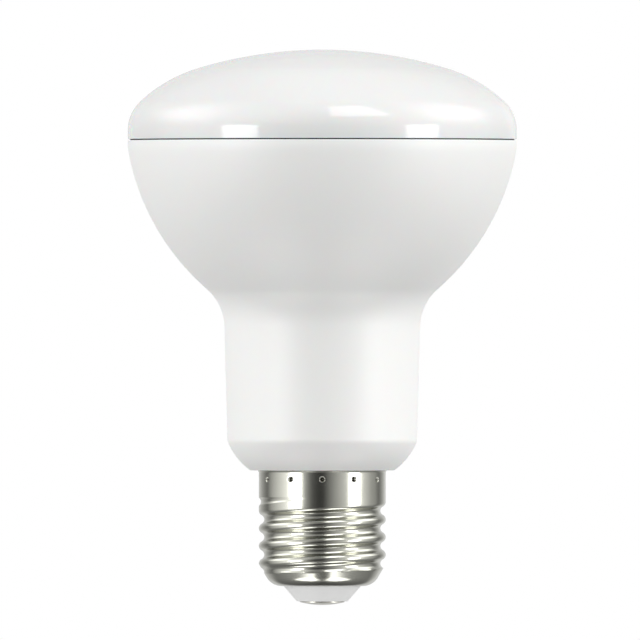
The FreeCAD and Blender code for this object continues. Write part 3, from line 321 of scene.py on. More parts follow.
def off_dent(angle, height, radius):
    """Distance over a round wall to the nearest dent: the root of the squares of the ways round and up."""
    off_turn = (angle + DENT_TURN / 2) % DENT_TURN - DENT_TURN / 2
    return np.hypot(off_turn * radius, height - DENT_HEIGHT)


def groove_radius(angle, height, skin):
    """Radius of the rolled groove at an angle and height, set in by a skin.

    The groove's root climbs one pitch a turn. Away from it the radius follows two arcs of one radius, the
    root's and the crest's, tangent halfway. It lifts out of the metal, by LIFT times its depth, over the
    turns of RUN_IN and RUN_OUT, which count from the first root's height.
    """
    depth = CREST_RADIUS - ROOT_RADIUS
    knuckle = ((PITCH / 2) ** 2 + depth**2) / (4 * depth)
    turn_here = angle / (2 * np.pi)
    turn = turn_here + np.round((height - FIRST_ROOT_HEIGHT) / PITCH - turn_here)
    away = np.abs(height - FIRST_ROOT_HEIGHT - PITCH * turn)
    from_root, from_crest = np.minimum(away, PITCH / 4), np.minimum(PITCH / 2 - away, PITCH / 4)
    root_arc = ROOT_RADIUS + knuckle - np.sqrt(knuckle**2 - from_root**2)
    crest_arc = CREST_RADIUS - knuckle + np.sqrt(knuckle**2 - from_crest**2)
    radius = np.where(away < PITCH / 4, root_arc, crest_arc)
    before_start = eased((RUN_IN[1] - turn) / (RUN_IN[1] - RUN_IN[0]))
    past_end = eased((turn - RUN_OUT[0]) / (RUN_OUT[1] - RUN_OUT[0]))
    return radius - skin + LIFT * depth * (before_start + past_end)


def cap_stretch(skin, thread_rows, dent_rows):
    """The cap's plain outline from hole to top, set in by a skin: base, shoulder, cone and barrel."""
    centre = (ROOT_RADIUS - SHOULDER_RADIUS, CAP_BASE + SHOULDER_RADIUS)
    round_radius = SHOULDER_RADIUS - skin
    barrel = CREST_RADIUS - skin
    shoulder = arc(centre, round_radius, -90, -LEAD_IN_ANGLE, 14)
    cone_top = shoulder[-1, 1] + (barrel - shoulder[-1, 0]) / math.tan(math.radians(LEAD_IN_ANGLE))
    dent_low = DENT_HEIGHT - DENT_MOUTH - DENT_MARGIN
    dent_high = DENT_HEIGHT + DENT_MOUTH + DENT_MARGIN
    above_thread = FIRST_ROOT_HEIGHT + PITCH * (RUN_OUT[1] + PLAIN_TURN)
    heights = np.concatenate([
        np.linspace(cone_top, above_thread, thread_rows),
        np.linspace(above_thread, dent_low, 6)[1:],
        np.linspace(dent_low, dent_high, dent_rows)[1:],
        np.linspace(dent_high, CAP_TOP, 9)[1:],
    ])
    side = np.column_stack([np.full(len(heights), barrel), heights])
    base = straight((HOLE_RADIUS, CAP_BASE + skin), (centre[0], CAP_BASE + skin), 4)
    return joined(base, shoulder, straight(shoulder[-1], (barrel, cone_top), 14), side)


def cap_rings(skin, thread_rows, dent_rows, angles):
    """Rings of the finished sheet, by height and angle.

    The radius is the plain outline's or the groove's, whichever is less. A dent takes its depth off, eased
    out to nothing at its mouth, and the lip adds its flare, eased in over its height.
    """
    outline = cap_stretch(skin, thread_rows, dent_rows)
    radius, height = outline[:, :1], outline[:, 1:]
    into_dent = 1 - eased((off_dent(angles, height, CREST_RADIUS) - DENT_FLOOR) / (DENT_MOUTH - DENT_FLOOR))
    up_lip = eased((height - CAP_TOP + LIP_HEIGHT) / LIP_HEIGHT)
    threaded = np.minimum(radius, groove_radius(angles, height, skin))
    formed = np.where(height > CAP_BASE + skin + SAME_PLACE, threaded, radius)
    formed = formed - DENT_DEPTH * into_dent + LIP_FLARE * up_lip
    return np.stack([formed * np.cos(angles), formed * np.sin(angles), height + 0 * angles], axis=-1)


# Columns crowd at the dents: in each twelfth of a turn u, the angle is u - 0.75 sin(2 pi u) / (2 pi).
COLUMNS_A_DENT = 30
CROWDING = 0.75
OUTER_THREAD_ROWS, OUTER_DENT_ROWS = 112, 24
INNER_THREAD_ROWS, INNER_DENT_ROWS = 46, 12
dent_turns = np.linspace(0, DENTS, DENTS * COLUMNS_A_DENT, endpoint=False)
cap_angles = (dent_turns - CROWDING * np.sin(2 * np.pi * dent_turns) / (2 * np.pi)) * DENT_TURN
outer_rings = cap_rings(0.0, OUTER_THREAD_ROWS, OUTER_DENT_ROWS, cap_angles)
inner_rings = cap_rings(SHEET, INNER_THREAD_ROWS, INNER_DENT_ROWS, cap_angles)
cap_grid = np.concatenate([outer_rings, inner_rings[::-1]])

# Nickel plate on rolled sheet: bright and a little warm. The rolling marks run round the cap, 0.25 mm apart,
# coarser than the real ones so that they show, and cloudy patches of 6 mm differ in colour and haze.
MARK_SPACING = 0.25
MARK_DRAWN_OUT = 0.06
PATCH_SIZE = 6.0
PAINTED_SHADE_REACH = 0.7
nickel = bpy.data.materials.new("rolled_nickel_plate")
nickel.use_nodes = True
tree = nickel.node_tree
tree.nodes.clear()
place = add_node(tree, "ShaderNodeTexCoord").outputs["Object"]
stretched = add_node(
    tree, "ShaderNodeMapping", {"Vector": place, "Scale": (MARK_DRAWN_OUT, MARK_DRAWN_OUT, 1.0)}
).outputs["Vector"]
marks = add_node(
    tree, "ShaderNodeTexNoise", {"Vector": stretched, "Scale": 1 / (MARK_SPACING * MM), "Detail": 2.0}
)
patches = add_node(
    tree, "ShaderNodeTexNoise", {"Vector": place, "Scale": 1 / (PATCH_SIZE * MM), "Detail": 4.0}
)
plate = add_node(
    tree, "ShaderNodeMix",
    {"Factor": patches.outputs["Fac"], "A": linear("#B6B6AC"), "B": linear("#BFBFB6")}, data_type="RGBA",
)
haze = add_node(
    tree, "ShaderNodeMapRange", {"Value": patches.outputs["Fac"], "To Min": 0.15, "To Max": 0.21}
)
# Painted shade darkens the plate in the punch marks and thread grooves, within 0.7 mm of a facing wall.
open_sky = add_node(tree, "ShaderNodeAmbientOcclusion", {"Distance": PAINTED_SHADE_REACH * MM}).outputs["AO"]
unshaded = add_node(tree, "ShaderNodeMapRange", {"Value": open_sky, "From Min": 0.35, "From Max": 0.85})
shaded_plate = add_node(
    tree, "ShaderNodeMix",
    {"Factor": unshaded.outputs["Result"], "A": linear("#4B4942"), "B": plate.outputs["Result"]},
    data_type="RGBA",
)
relief = add_node(
    tree, "ShaderNodeBump", {"Height": marks.outputs["Fac"], "Distance": 0.002 * MM, "Strength": 1.0}
)
surface = add_node(
    tree, "ShaderNodeBsdfPrincipled",
    {
        "Base Color": shaded_plate.outputs["Result"],
        "Roughness": haze.outputs["Result"],
        "Normal": relief.outputs["Normal"],
        "Metallic": 1.0,
    },
)
add_node(tree, "ShaderNodeOutputMaterial", {"Surface": surface.outputs["BSDF"]})
add_piece(
    "cap_shell", cap_grid.reshape(-1, 3), [ring_faces(len(cap_grid), len(cap_angles), closed=True)],
    nickel, "cap_metal", "cap_shell",
)


# Driver: a glass-fibre board in the neck with its transformer, capacitors, choke, chips and resistor, and
# four insulated leads. Each part is a bought component and keeps its CAD shape.

# Finishes by node: two close colours, grain in mm, roughness, depth of the grain in mm. Solder mask is a deep
# green with some gloss, ferrite dull charcoal, moulded epoxy satin black, film dip a glossy red, winding tape
# a smooth yellow, shrink sleeve and lead insulation even and soft.
DRIVER_FINISHES = {
    "driver_board": grained("glass_fibre_board", "#2F6B3A", "#3A7B45", 0.9, 0.45, 0.01, IOR=1.55),
    "transformer_core": grained("pressed_ferrite", "#2B2B2D", "#38383A", 0.4, 0.6, 0.02),
    "transformer_bobbin": grained("moulded_bobbin", "#1E1E20", "#262629", 0.7, 0.4, 0.006, IOR=1.58),
    "transformer_winding": grained("taped_winding", "#D8A325", "#E2B038", 1.2, 0.35, 0.02, IOR=1.5),
    "input_capacitor": grained("shrink_sleeve", "#23272C", "#2C3137", 1.5, 0.3, 0.01, IOR=1.53),
    "output_capacitor": grained("shrink_sleeve_green", "#1F4A3A", "#265645", 1.5, 0.3, 0.01, IOR=1.53),
    "film_capacitor": grained("dipped_film", "#A3321F", "#B03A25", 1.1, 0.28, 0.015, IOR=1.5),
    "bridge_rectifier": grained("moulded_epoxy", "#1B1B1C", "#242425", 0.3, 0.5, 0.01, IOR=1.55),
    "controller_chip": grained("moulded_chip", "#18191A", "#222324", 0.3, 0.45, 0.008, IOR=1.55),
    "flyback_diode": grained("glassy_epoxy", "#202022", "#2A2A2C", 0.4, 0.35, 0.008, IOR=1.55),
    "fuse_resistor": grained("painted_ceramic", "#7FA7B8", "#8AB2C3", 0.5, 0.4, 0.01, IOR=1.5),
    "line_choke": grained("drum_ferrite", "#303033", "#3C3C40", 0.4, 0.55, 0.02),
    "live_lead": grained("red_insulation", "#A82A22", "#B3342B", 0.9, 0.4, 0.01, IOR=1.49),
    "neutral_lead": grained("black_insulation", "#1C1C1E", "#26262A", 0.9, 0.4, 0.01, IOR=1.49),
    "led_lead_positive": grained("red_insulation_fine", "#AD2D24", "#B8372D", 0.8, 0.4, 0.01, IOR=1.49),
    "led_lead_negative": grained("black_insulation_fine", "#1D1D20", "#28282C", 0.8, 0.4, 0.01, IOR=1.49),
}


def finish_node(node_name, material):
    """Give a CAD node's object this one material in place of its own."""
    slots = nodes[node_name].data.materials
    slots.clear()
    slots.append(material)


for node_name, material in DRIVER_FINISHES.items():
    finish_node(node_name, material)


# Housing: a satin white moulding of even wall. It flares from the neck to the rim, is rounded in over the
# cap, and holds the heat plate on a ledge under a thin lip.
RIM_RADIUS = 40.0
LIP_RADIUS = 39.0
WALL = 1.8
RIM_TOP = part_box("housing")[1][2] / MM
LAND_BOTTOM = RIM_TOP - 1.7
LAP_SEAT = RIM_TOP - 2.4
LEDGE_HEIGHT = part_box("heat_plate")[0][2] / MM
POCKET_RADIUS = 37.4
LEDGE_RADIUS = 35.4
BELL_RADIUS = 49.46
BELL_START_ANGLE = 9.8
BLEND_RADIUS = 10.42
NECK_RADIUS_LOW = 19.5
NECK_LOW_HEIGHT = 33.7
NECK_TAPER = 1.54
CORNER_RADIUS = 2.5
FOOT_ARC_RADIUS = 13.46
FOOT_RADIUS = 14.8
FOOT_HEIGHT = 27.7
COLLAR_RADIUS = 12.65
COLLAR_BORE = 10.9
COLLAR_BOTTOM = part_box("housing")[0][2] / MM
COLLAR_SIDE_TOP = FOOT_HEIGHT - 0.1
COLLAR_ROWS = 30
FINE_ROUND = 0.05
SEAT_ROUND = 0.1
EDGE_ROUND = 0.12
FLOOR_ROUND = 0.2
FOOT_ROUND = 0.25
HOUSING_COLUMNS = 360
DENT_POCKET_MOUTH = 1.04
DENT_POCKET_FLOOR = 0.66
DENT_POCKET_DEPTH = 0.55
COLLAR_NEARNESS = 0.01
RAIL_INSIDE, RAIL_OUTSIDE = 15.4, 18.6
RAIL_HALF = 2.25
RAIL_BASE, RAIL_TOP = 33.3, 55.3
SLOT_HALF = 0.75
SLOT_END = 16.75
SLOT_BASE = 34.5
BOSS_PLACE = 32.8
BOSS_RADIUS = 2.8
BOSS_BASE = LEDGE_HEIGHT - 9.0
PILOT_RADIUS = 1.25
PILOT_BASE = LEDGE_HEIGHT - 7.0
BOSSES = 3
BOSS_COLUMNS = 48


def touching(base, slope, offset, centre, reach):
    """Two places on the neck's leaning side, moved square to itself by an offset, a reach from a centre.

    The side is r = foot + slope z. Its heights z solve (r - centre's r)^2 + (z - centre's z)^2 = reach^2.
    """
    foot = base[0] + offset / math.cos(math.atan(slope)) - slope * base[1]
    aside = foot - centre[0]
    of_square = 1 + slope**2
    of_height = 2 * (slope * aside - centre[1])
    alone = aside**2 + centre[1] ** 2 - reach**2
    spread = math.sqrt(of_height**2 - 4 * of_square * alone)
    heights = ((-of_height - spread) / (2 * of_square), (-of_height + spread) / (2 * of_square))
    return [(foot + slope * height, height) for height in heights]


def bearing(centre, point):
    """The direction from a centre to a point, in degrees anticlockwise from outwards."""
    return math.degrees(math.atan2(point[1] - centre[1], point[0] - centre[0]))


neck_base = (NECK_RADIUS_LOW, NECK_LOW_HEIGHT)
slope = math.tan(math.radians(NECK_TAPER))
bell_rise = BELL_RADIUS * math.sin(math.radians(BELL_START_ANGLE))
bell_centre = (RIM_RADIUS - math.sqrt(BELL_RADIUS**2 - bell_rise**2), LAND_BOTTOM + bell_rise)
blend_centre = touching(neck_base, slope, BLEND_RADIUS, bell_centre, BELL_RADIUS + BLEND_RADIUS)[0]
chord = math.dist(neck_base, (FOOT_RADIUS, FOOT_HEIGHT))
foot_rise = math.sqrt(FOOT_ARC_RADIUS**2 - (chord / 2) ** 2)
foot_centre = (
    (neck_base[0] + FOOT_RADIUS) / 2 - (neck_base[1] - FOOT_HEIGHT) / chord * foot_rise,
    (neck_base[1] + FOOT_HEIGHT) / 2 + (neck_base[0] - FOOT_RADIUS) / chord * foot_rise,
)
corner_centre = min(
    touching(neck_base, slope, -CORNER_RADIUS, foot_centre, FOOT_ARC_RADIUS - CORNER_RADIUS),
    key=lambda point: abs(point[1] - NECK_LOW_HEIGHT),
)
inner_corner = min(
    touching(neck_base, slope, -WALL, foot_centre, FOOT_ARC_RADIUS - WALL),
    key=lambda point: abs(point[1] - NECK_LOW_HEIGHT),
)
floor_height = FOOT_HEIGHT + WALL
floor_reach = math.sqrt((FOOT_ARC_RADIUS - WALL) ** 2 - (floor_height - foot_centre[1]) ** 2)
floor_edge = (foot_centre[0] + floor_reach, floor_height)
bell_drop = math.sqrt((BELL_RADIUS - WALL) ** 2 - (LEDGE_RADIUS - bell_centre[0]) ** 2)
bell_top = (LEDGE_RADIUS, bell_centre[1] - bell_drop)
neck_side = 180 - NECK_TAPER
bell_to_blend = bearing(bell_centre, blend_centre)
bell_to_land = bearing(bell_centre, (RIM_RADIUS, LAND_BOTTOM))
bell_to_ledge = bearing(bell_centre, bell_top)
blend_to_bell = bearing(blend_centre, bell_centre)
foot_to_edge = bearing(foot_centre, (FOOT_RADIUS, FOOT_HEIGHT))
foot_to_corner = bearing(foot_centre, corner_centre)
foot_to_inner = bearing(foot_centre, inner_corner)
foot_to_floor = bearing(foot_centre, floor_edge)
bell_arc = arc(bell_centre, BELL_RADIUS, bell_to_blend, bell_to_land, 44)
blend_arc = arc(blend_centre, BLEND_RADIUS, neck_side, blend_to_bell, 24)
corner_arc = arc(corner_centre, CORNER_RADIUS, foot_to_corner, -NECK_TAPER, 12)
foot_arc = arc(foot_centre, FOOT_ARC_RADIUS, foot_to_edge, foot_to_corner, 20)
inner_blend = arc(blend_centre, BLEND_RADIUS + WALL, blend_to_bell, neck_side, 16)
inner_bell = arc(bell_centre, BELL_RADIUS - WALL, bell_to_ledge, bell_to_blend, 26)
inner_foot = arc(foot_centre, FOOT_ARC_RADIUS - WALL, foot_to_inner, foot_to_floor, 8)
outside = joined(
    straight((COLLAR_RADIUS, COLLAR_BOTTOM), (COLLAR_RADIUS, COLLAR_SIDE_TOP), COLLAR_ROWS),
    softened(
        [
            (COLLAR_RADIUS, COLLAR_SIDE_TOP),
            (COLLAR_RADIUS, FOOT_HEIGHT),
            (FOOT_RADIUS, FOOT_HEIGHT),
            foot_arc[1],
        ],
        [FINE_ROUND, FOOT_ROUND],
    ),
    foot_arc[1:],
    corner_arc,
    straight(corner_arc[-1], blend_arc[0], 26),
    blend_arc,
    bell_arc,
    softened(
        [
            bell_arc[-1],
            (RIM_RADIUS, RIM_TOP),
            (LIP_RADIUS, RIM_TOP),
            (LIP_RADIUS, LAP_SEAT),
        ],
        [EDGE_ROUND, FINE_ROUND],
    ),
)
inside = joined(
    softened(
        [
            (LIP_RADIUS, LAP_SEAT),
            (POCKET_RADIUS, LAP_SEAT),
            (POCKET_RADIUS, LEDGE_HEIGHT),
            (LEDGE_RADIUS, LEDGE_HEIGHT),
            bell_top,
        ],
        [SEAT_ROUND, 0, SEAT_ROUND],
    ),
    inner_bell,
    inner_blend,
    straight(inner_blend[-1], inner_corner, 10),
    inner_foot,
    softened(
        [
            floor_edge,
            (COLLAR_BORE, floor_height),
            (COLLAR_BORE, COLLAR_BOTTOM),
            (COLLAR_RADIUS, COLLAR_BOTTOM),
        ],
        [FLOOR_ROUND, SEAT_ROUND],
    ),
)[:-1]
housing_outline = joined(outside, inside)

# Satin polycarbonate: the mould's fine spark-eroded texture, drawn 0.35 mm coarse so that it shows.
housing_white = grained(
    "satin_polycarbonate", "#F8F8F6", "#FAFAF8", 0.35, 0.42, 0.004,
    **{"IOR": 1.585, "Subsurface Weight": 0.12, "Subsurface Scale": 1.5 * MM},
)
housing_points, housing_faces = turned(housing_outline, HOUSING_COLUMNS)

# The collar has a pocket behind each dent of the cap: its side is set in there, as a blunt cone.
reach = np.hypot(housing_points[:, 0], housing_points[:, 1])
around = np.arctan2(housing_points[:, 1], housing_points[:, 0])
off_pocket = off_dent(around, housing_points[:, 2], COLLAR_RADIUS)
into_pocket = np.clip((DENT_POCKET_MOUTH - off_pocket) / (DENT_POCKET_MOUTH - DENT_POCKET_FLOOR), 0, 1)
on_collar = np.abs(reach - COLLAR_RADIUS) < COLLAR_NEARNESS
set_in = np.where(on_collar, DENT_POCKET_DEPTH * into_pocket, 0)
housing_points[:, :2] *= (1 - set_in / reach)[:, None]

# Two rails hold the driver board's edges in open slots, on a stop under the board. Each is one closed form:
# a rectangle up to the slot's base and a U from there to the top. Its corners go round at each of three
# heights: 0 to 7 at the base, 8 to 15 at the slot's base and 16 to 23 at the top.
rail_plan = np.array([
    (RAIL_INSIDE, -RAIL_HALF), (RAIL_OUTSIDE, -RAIL_HALF), (RAIL_OUTSIDE, RAIL_HALF),
    (RAIL_INSIDE, RAIL_HALF), (RAIL_INSIDE, SLOT_HALF), (SLOT_END, SLOT_HALF),
    (SLOT_END, -SLOT_HALF), (RAIL_INSIDE, -SLOT_HALF),
])
rail_heights = np.repeat([RAIL_BASE, SLOT_BASE, RAIL_TOP], len(rail_plan))
rail_points = np.column_stack([np.tile(rail_plan, (3, 1)), rail_heights])
rail_faces = [
    np.array([
        (3, 2, 1, 0), (12, 15, 14, 13), (16, 17, 22, 23), (17, 18, 21, 22), (18, 19, 20, 21),
        (8, 16, 23, 15), (11, 12, 20, 19), (12, 13, 21, 20), (13, 14, 22, 21), (14, 15, 23, 22),
    ]),
    np.array([(0, 1, 9, 17, 16, 8), (1, 2, 10, 18, 17, 9), (2, 3, 11, 19, 18, 10), (3, 0, 8, 15, 12, 11)]),
]
forms = [
    (housing_points, housing_faces),
    (rail_points, rail_faces),
    (rail_points * (-1, -1, 1), rail_faces),
]

# Three bosses stand on the bell's wall under the ledge, each with a blind pilot hole for a plate screw.
boss_outline = np.array([
    (0, BOSS_BASE), (BOSS_RADIUS, BOSS_BASE), (BOSS_RADIUS, LEDGE_HEIGHT),
    (PILOT_RADIUS, LEDGE_HEIGHT), (PILOT_RADIUS, PILOT_BASE), (0, PILOT_BASE),
])
boss_points, boss_faces = turned(boss_outline, BOSS_COLUMNS)
for boss_angle in np.linspace(0, 2 * np.pi, BOSSES, endpoint=False):
    boss_shift = np.array([math.cos(boss_angle), math.sin(boss_angle), 0]) * BOSS_PLACE
    forms.append((boss_points + boss_shift, boss_faces))


def merged(forms):
    """Several forms, each its points and faces, as one: each form's point numbers go on from the last's."""
    starts = np.cumsum([0] + [len(points) for points, faces in forms])
    faces = [group + start for start, (points, groups) in zip(starts, forms) for group in groups]
    return np.concatenate([points for points, groups in forms]), faces


add_piece("housing", *merged(forms), housing_white, "housing", "housing")


# Heat plate and light board: a turned aluminium disc screwed to three bosses, and on it the white-masked
# board with its lights, two screws and the connector of the leads.

# Turned aluminium and zinc plate mirror softly, solder mask is a smooth white, the moulded connector a duller
# one, and the light packages show the yellow of their phosphor.
finish_node("heat_plate", grained("turned_aluminium", "#B9BBBD", "#C6C8CA", 0.5, 0.32, 0.006, Metallic=1.0))
finish_node("led_board", grained("white_solder_mask", "#ECEDEA", "#F3F4F1", 0.9, 0.35, 0.004, IOR=1.5))
finish_node("board_connector", grained("moulded_connector", "#E8E6DF", "#EFEDE7", 0.5, 0.45, 0.006, IOR=1.58))
screw_zinc = grained("zinc_plated_steel", "#B4B6B8", "#C4C6C8", 0.3, 0.3, 0.004, Metallic=1.0)
for node_name in ("plate_screws", "board_screws"):
    finish_node(node_name, screw_zinc)
led_phosphor = grained("light_package", "#E9D98A", "#F0E2A0", 0.4, 0.5, 0.01, IOR=1.5)
for node_name in sorted(name for name in nodes if name.startswith("led_") and name[4:].isdigit()):
    finish_node(node_name, led_phosphor)


# Seam bead: it sits back in the gap between the diffuser and the housing's lip, dark as painted shade, and
# shows as the thin dark line round the rim, where the gap's shadow falls.
finish_node("seam_bead", grained("painted_gap_shade", "#2B2B29", "#363634", 0.5, 0.6, 0.01, IOR=1.43))


# Diffuser: injection-moulded opal polycarbonate with a glossy skin. Its dome is three tangent arcs, and a
# spigot drops inside the housing's lip.
TOP = cad_box[1][2] / MM
DOME_HEIGHT = TOP - 16.5
CROWN_RADIUS = 88.0
MIDDLE_RADIUS = 30.0
EDGE_RADIUS = 8.0
DIFFUSER_WALL = 2.0
SIDE_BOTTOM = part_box("seam_bead")[1][2] / MM
SPIGOT_RADIUS = 38.95
SPIGOT_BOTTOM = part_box("diffuser")[0][2] / MM

crown_centre = (0.0, TOP - CROWN_RADIUS)
edge_centre = (RIM_RADIUS - EDGE_RADIUS, DOME_HEIGHT)
# The middle arc's centre lies one difference of radii from each of the other two: so far along the line
# between them, and so far to its side.
between = math.dist(crown_centre, edge_centre)
from_crown, from_edge = CROWN_RADIUS - MIDDLE_RADIUS, MIDDLE_RADIUS - EDGE_RADIUS
along = (from_crown**2 - from_edge**2 + between**2) / (2 * between)
beside = math.sqrt(from_crown**2 - along**2)
towards = ((edge_centre[0] - crown_centre[0]) / between, (edge_centre[1] - crown_centre[1]) / between)
middle_centre = (
    crown_centre[0] + towards[0] * along - towards[1] * beside,
    crown_centre[1] + towards[1] * along + towards[0] * beside,
)
edge_to_middle = bearing(middle_centre, edge_centre)
middle_to_crown = bearing(crown_centre, middle_centre)
outer_dome = joined(
    arc(edge_centre, EDGE_RADIUS, 0, edge_to_middle, 20),
    arc(middle_centre, MIDDLE_RADIUS, edge_to_middle, middle_to_crown, 24),
    arc(crown_centre, CROWN_RADIUS, middle_to_crown, 90, 40),
)
inner_dome = joined(
    arc(crown_centre, CROWN_RADIUS - DIFFUSER_WALL, 90, middle_to_crown, 24),
    arc(middle_centre, MIDDLE_RADIUS - DIFFUSER_WALL, middle_to_crown, edge_to_middle, 14),
    arc(edge_centre, EDGE_RADIUS - DIFFUSER_WALL, edge_to_middle, 0, 10),
)
diffuser_outline = joined(
    inner_dome,
    softened(
        [
            inner_dome[-1],
            (RIM_RADIUS - DIFFUSER_WALL, SPIGOT_BOTTOM),
            (SPIGOT_RADIUS, SPIGOT_BOTTOM),
            (SPIGOT_RADIUS, SIDE_BOTTOM),
            (RIM_RADIUS, SIDE_BOTTOM),
            outer_dome[0],
        ],
        [SEAT_ROUND, SEAT_ROUND, FINE_ROUND, EDGE_ROUND],
    ),
    outer_dome,
)

# Opal polycarbonate off a polished mould: milky and mirror-smooth, with only a faint long ripple, 25 mm from
# crest to crest, and slight flow clouds.
RIPPLE_LENGTH = 25.0
opal = bpy.data.materials.new("opal_polycarbonate")
opal.use_nodes = True
tree = opal.node_tree
tree.nodes.clear()
place = add_node(tree, "ShaderNodeTexCoord").outputs["Object"]
clouds = add_node(
    tree, "ShaderNodeTexNoise", {"Vector": place, "Scale": 1 / (RIPPLE_LENGTH * MM), "Detail": 2.0}
)
milk = add_node(
    tree, "ShaderNodeMix",
    {"Factor": clouds.outputs["Fac"], "A": linear("#EEEEED"), "B": linear("#F2F2F1")}, data_type="RGBA",
)
sheen = add_node(tree, "ShaderNodeMapRange", {"Value": clouds.outputs["Fac"], "To Min": 0.05, "To Max": 0.08})
ripple = add_node(
    tree, "ShaderNodeBump", {"Height": clouds.outputs["Fac"], "Distance": 0.02 * MM, "Strength": 0.5}
)
surface = add_node(
    tree, "ShaderNodeBsdfPrincipled",
    {
        "Base Color": milk.outputs["Result"],
        "Roughness": sheen.outputs["Result"],
        "Normal": ripple.outputs["Normal"],
        "IOR": 1.585,
        "Subsurface Weight": 0.3,
        "Subsurface Scale": 2 * MM,
    },
)
add_node(tree, "ShaderNodeOutputMaterial", {"Surface": surface.outputs["BSDF"]})
turned_piece("diffuser", diffuser_outline, HOUSING_COLUMNS, opal, "diffuser")


# Floor and studio: a pale floor well under the lamp, and a studio drawn in the world by direction. Its walls
# are bright at the sides, pale behind the lamp and dark behind the camera. Five lamps stand before them: two
# tall ones, one overhead and two wide ones low down. The camera sees plain white past the lamp.
FLOOR_DROP = 0.1
FLOOR_REACH = 5.0
FLOOR_GRAIN = 40.0
floor_mesh = bpy.data.meshes.new("floor")
floor_mesh.from_pydata(
    [(x * FLOOR_REACH, y * FLOOR_REACH, -FLOOR_DROP) for x, y in ((-1, -1), (1, -1), (1, 1), (-1, 1))],
    [], [(0, 1, 2, 3)],
)
floor_mesh.materials.append(grained("pale_floor", "#F4F4F4", "#F7F7F7", FLOOR_GRAIN, 0.9, 0.0))
floor = bpy.data.objects.new("floor", floor_mesh)
bpy.context.scene.collection.objects.link(floor)
# The lamp is lit from below and mirrors the studio as if the floor weren't there.
floor.visible_glossy = False
floor.visible_diffuse = False

world = bpy.data.worlds.new("studio")
bpy.context.scene.world = world
world.use_nodes = True
tree = world.node_tree
tree.nodes.clear()
# Bearing is 0 towards the camera and grows to the lamp's right; rise is the angle above the horizon.
direction = add_node(tree, "ShaderNodeTexCoord").outputs["Generated"]
parts = add_node(tree, "ShaderNodeSeparateXYZ", {0: direction}).outputs
ahead = add_node(tree, "ShaderNodeMath", {0: parts["Y"], 1: -1.0}, operation="MULTIPLY").outputs[0]
turn = add_node(tree, "ShaderNodeMath", {0: parts["X"], 1: ahead}, operation="ARCTAN2").outputs[0]
bearing_out = add_node(tree, "ShaderNodeMath", {0: turn}, operation="DEGREES").outputs[0]
tilt = add_node(tree, "ShaderNodeMath", {0: parts["Z"]}, operation="ARCSINE").outputs[0]
rise_out = add_node(tree, "ShaderNodeMath", {0: tilt}, operation="DEGREES").outputs[0]

# Strength of the light round the horizon, above it and below it, at stops of bearing and straight between
# them, and straight overhead. STRONGEST is more than any stop.
LEVEL = [
    (-180, 0.72), (-160, 0.8), (-138, 0.5), (-119, 0.2), (-106, 0.6), (-82, 1.2), (-70, 1.6), (-50, 1.4),
    (-38, 0.8), (-20, 0.15), (-8, 0.06), (2, 0.06), (26, 0.6), (44, 1.0), (60, 1.5), (74, 1.3), (86, 1.0),
    (100, 0.6), (112, 0.5), (125, 0.2), (157, 0.9), (180, 0.72),
]
ABOVE = [
    (-180, 0.55), (-130, 0.55), (-105, 2.8), (-80, 2.8), (-68, 1.6), (-45, 1.3), (-15, 0.3), (15, 0.3),
    (45, 1.1), (68, 1.4), (80, 3.0), (105, 3.0), (130, 0.55), (180, 0.55),
]
BELOW = [
    (-180, 0.1), (-110, 0.35), (-45, 0.7), (-10, 0.25), (10, 0.25), (45, 0.7), (110, 0.35), (180, 0.1),
]
OVERHEAD = 0.3
STRONGEST = 4.0

# One colour ramp along the bearing for each ring of stops; its greys are the strengths over the strongest.
HALF_TURN, FULL_TURN = 180.0, 360.0
round_share = add_node(
    tree, "ShaderNodeMapRange", {"Value": bearing_out, "From Min": -HALF_TURN, "From Max": HALF_TURN}
).outputs["Result"]
rings = []
for stops in (LEVEL, ABOVE, BELOW):
    ramp = add_node(tree, "ShaderNodeValToRGB", {"Fac": round_share})
    elements = ramp.color_ramp.elements
    while len(elements) < len(stops):
        elements.new(1.0)
    for element, (degrees, strength) in zip(elements, stops):
        element.position = (degrees + HALF_TURN) / FULL_TURN
        element.color = (*[strength / STRONGEST] * 3, 1.0)
    ring = add_node(
        tree, "ShaderNodeMath", {0: ramp.outputs["Color"], 1: STRONGEST}, operation="MULTIPLY"
    )
    rings.append(ring.outputs[0])

# From one ring to the next the light goes over between two rises.
TO_ABOVE = (6, 30)
TO_OVERHEAD = (28, 75)
TO_BELOW = (-22, -36)
light = rings[0]
for (near, far), beyond in ((TO_ABOVE, rings[1]), (TO_OVERHEAD, OVERHEAD), (TO_BELOW, rings[2])):
    gone_over = add_node(
        tree, "ShaderNodeMapRange", {"Value": rise_out, "From Min": near, "From Max": far},
        interpolation_type="SMOOTHSTEP",
    ).outputs["Result"]
    light = add_node(
        tree, "ShaderNodeMix", {"Factor": gone_over, "A": light, "B": beyond}, data_type="FLOAT"
    ).outputs["Result"]

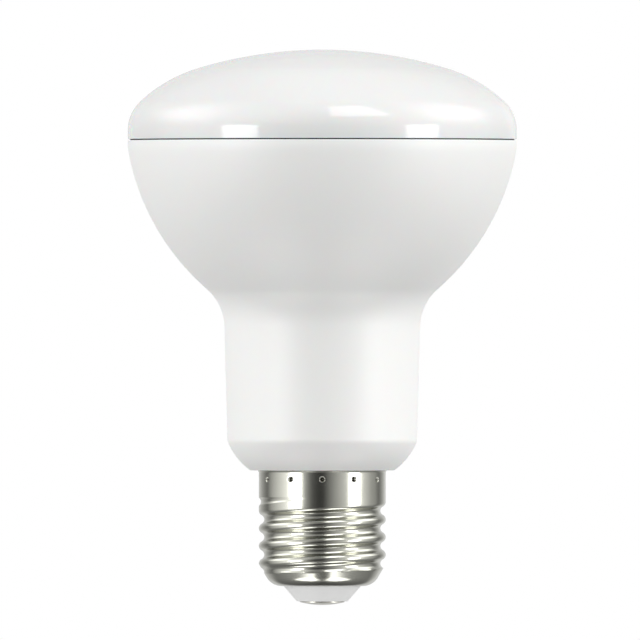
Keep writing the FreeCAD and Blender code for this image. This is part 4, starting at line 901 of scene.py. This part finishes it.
# Each lamp of the studio: its bearings, its rises and its soft edge, in degrees, and the strength that it
# adds. The strength is taken times one smooth step for each of its four edges.
LAMPS = [
    (-62, -39, -22, 11, 3, 5.2),
    (51, 73, -22, 11, 3, 5.2),
    (6, 47, 37, 70, 2, 3.0),
    (-98, -24, -80, -57, 5, 3.0),
    (24, 98, -80, -57, 5, 3.0),
]
for west, east, low, high, soft, strength in LAMPS:
    added = strength
    for value, start, stop in ((bearing_out, west, east), (rise_out, low, high)):
        for edge, way in ((start, 1), (stop, -1)):
            within = add_node(
                tree, "ShaderNodeMapRange",
                {"Value": value, "From Min": edge - way * soft / 2, "From Max": edge + way * soft / 2},
                interpolation_type="SMOOTHSTEP",
            ).outputs["Result"]
            added = add_node(
                tree, "ShaderNodeMath", {0: within, 1: added}, operation="MULTIPLY"
            ).outputs[0]
    light = add_node(tree, "ShaderNodeMath", {0: light, 1: added}, operation="ADD").outputs[0]
studio_light = add_node(tree, "ShaderNodeBackground", {"Color": linear("#FFFFFF"), "Strength": light})
backdrop = add_node(tree, "ShaderNodeBackground", {"Color": linear("#FFFFFF"), "Strength": 1.0})
seen = add_node(tree, "ShaderNodeLightPath").outputs["Is Camera Ray"]
mixed = add_node(
    tree, "ShaderNodeMixShader",
    {0: seen, 1: studio_light.outputs["Background"], 2: backdrop.outputs["Background"]},
)
add_node(tree, "ShaderNodeOutputWorld", {"Surface": mixed.outputs["Shader"]})


# Camera: level with the middle of the lamp, 6 m off with a long lens, so that the view is nearly parallel.
# The view's width and the lamp's place in it, in metres, come from the photo.
VIEW_WIDTH = 0.13162
CAMERA_DISTANCE = 6.0
AXIS_OFFSET = 0.00047
CENTRE_HEIGHT = 0.05861
SENSOR_WIDTH = 36.0
CLIP_END = 100.0
camera_data = bpy.data.cameras.new("camera")
camera_data.sensor_width = SENSOR_WIDTH
camera_data.lens = SENSOR_WIDTH * CAMERA_DISTANCE / VIEW_WIDTH
camera_data.clip_end = CLIP_END
camera = bpy.data.objects.new("camera", camera_data)
camera.location = (-AXIS_OFFSET, -CAMERA_DISTANCE, CENTRE_HEIGHT)
camera.rotation_euler = (math.pi / 2, 0.0, 0.0)
bpy.context.scene.collection.objects.link(camera)
bpy.context.scene.camera = camera
bpy.context.scene.view_settings.view_transform = "Standard"
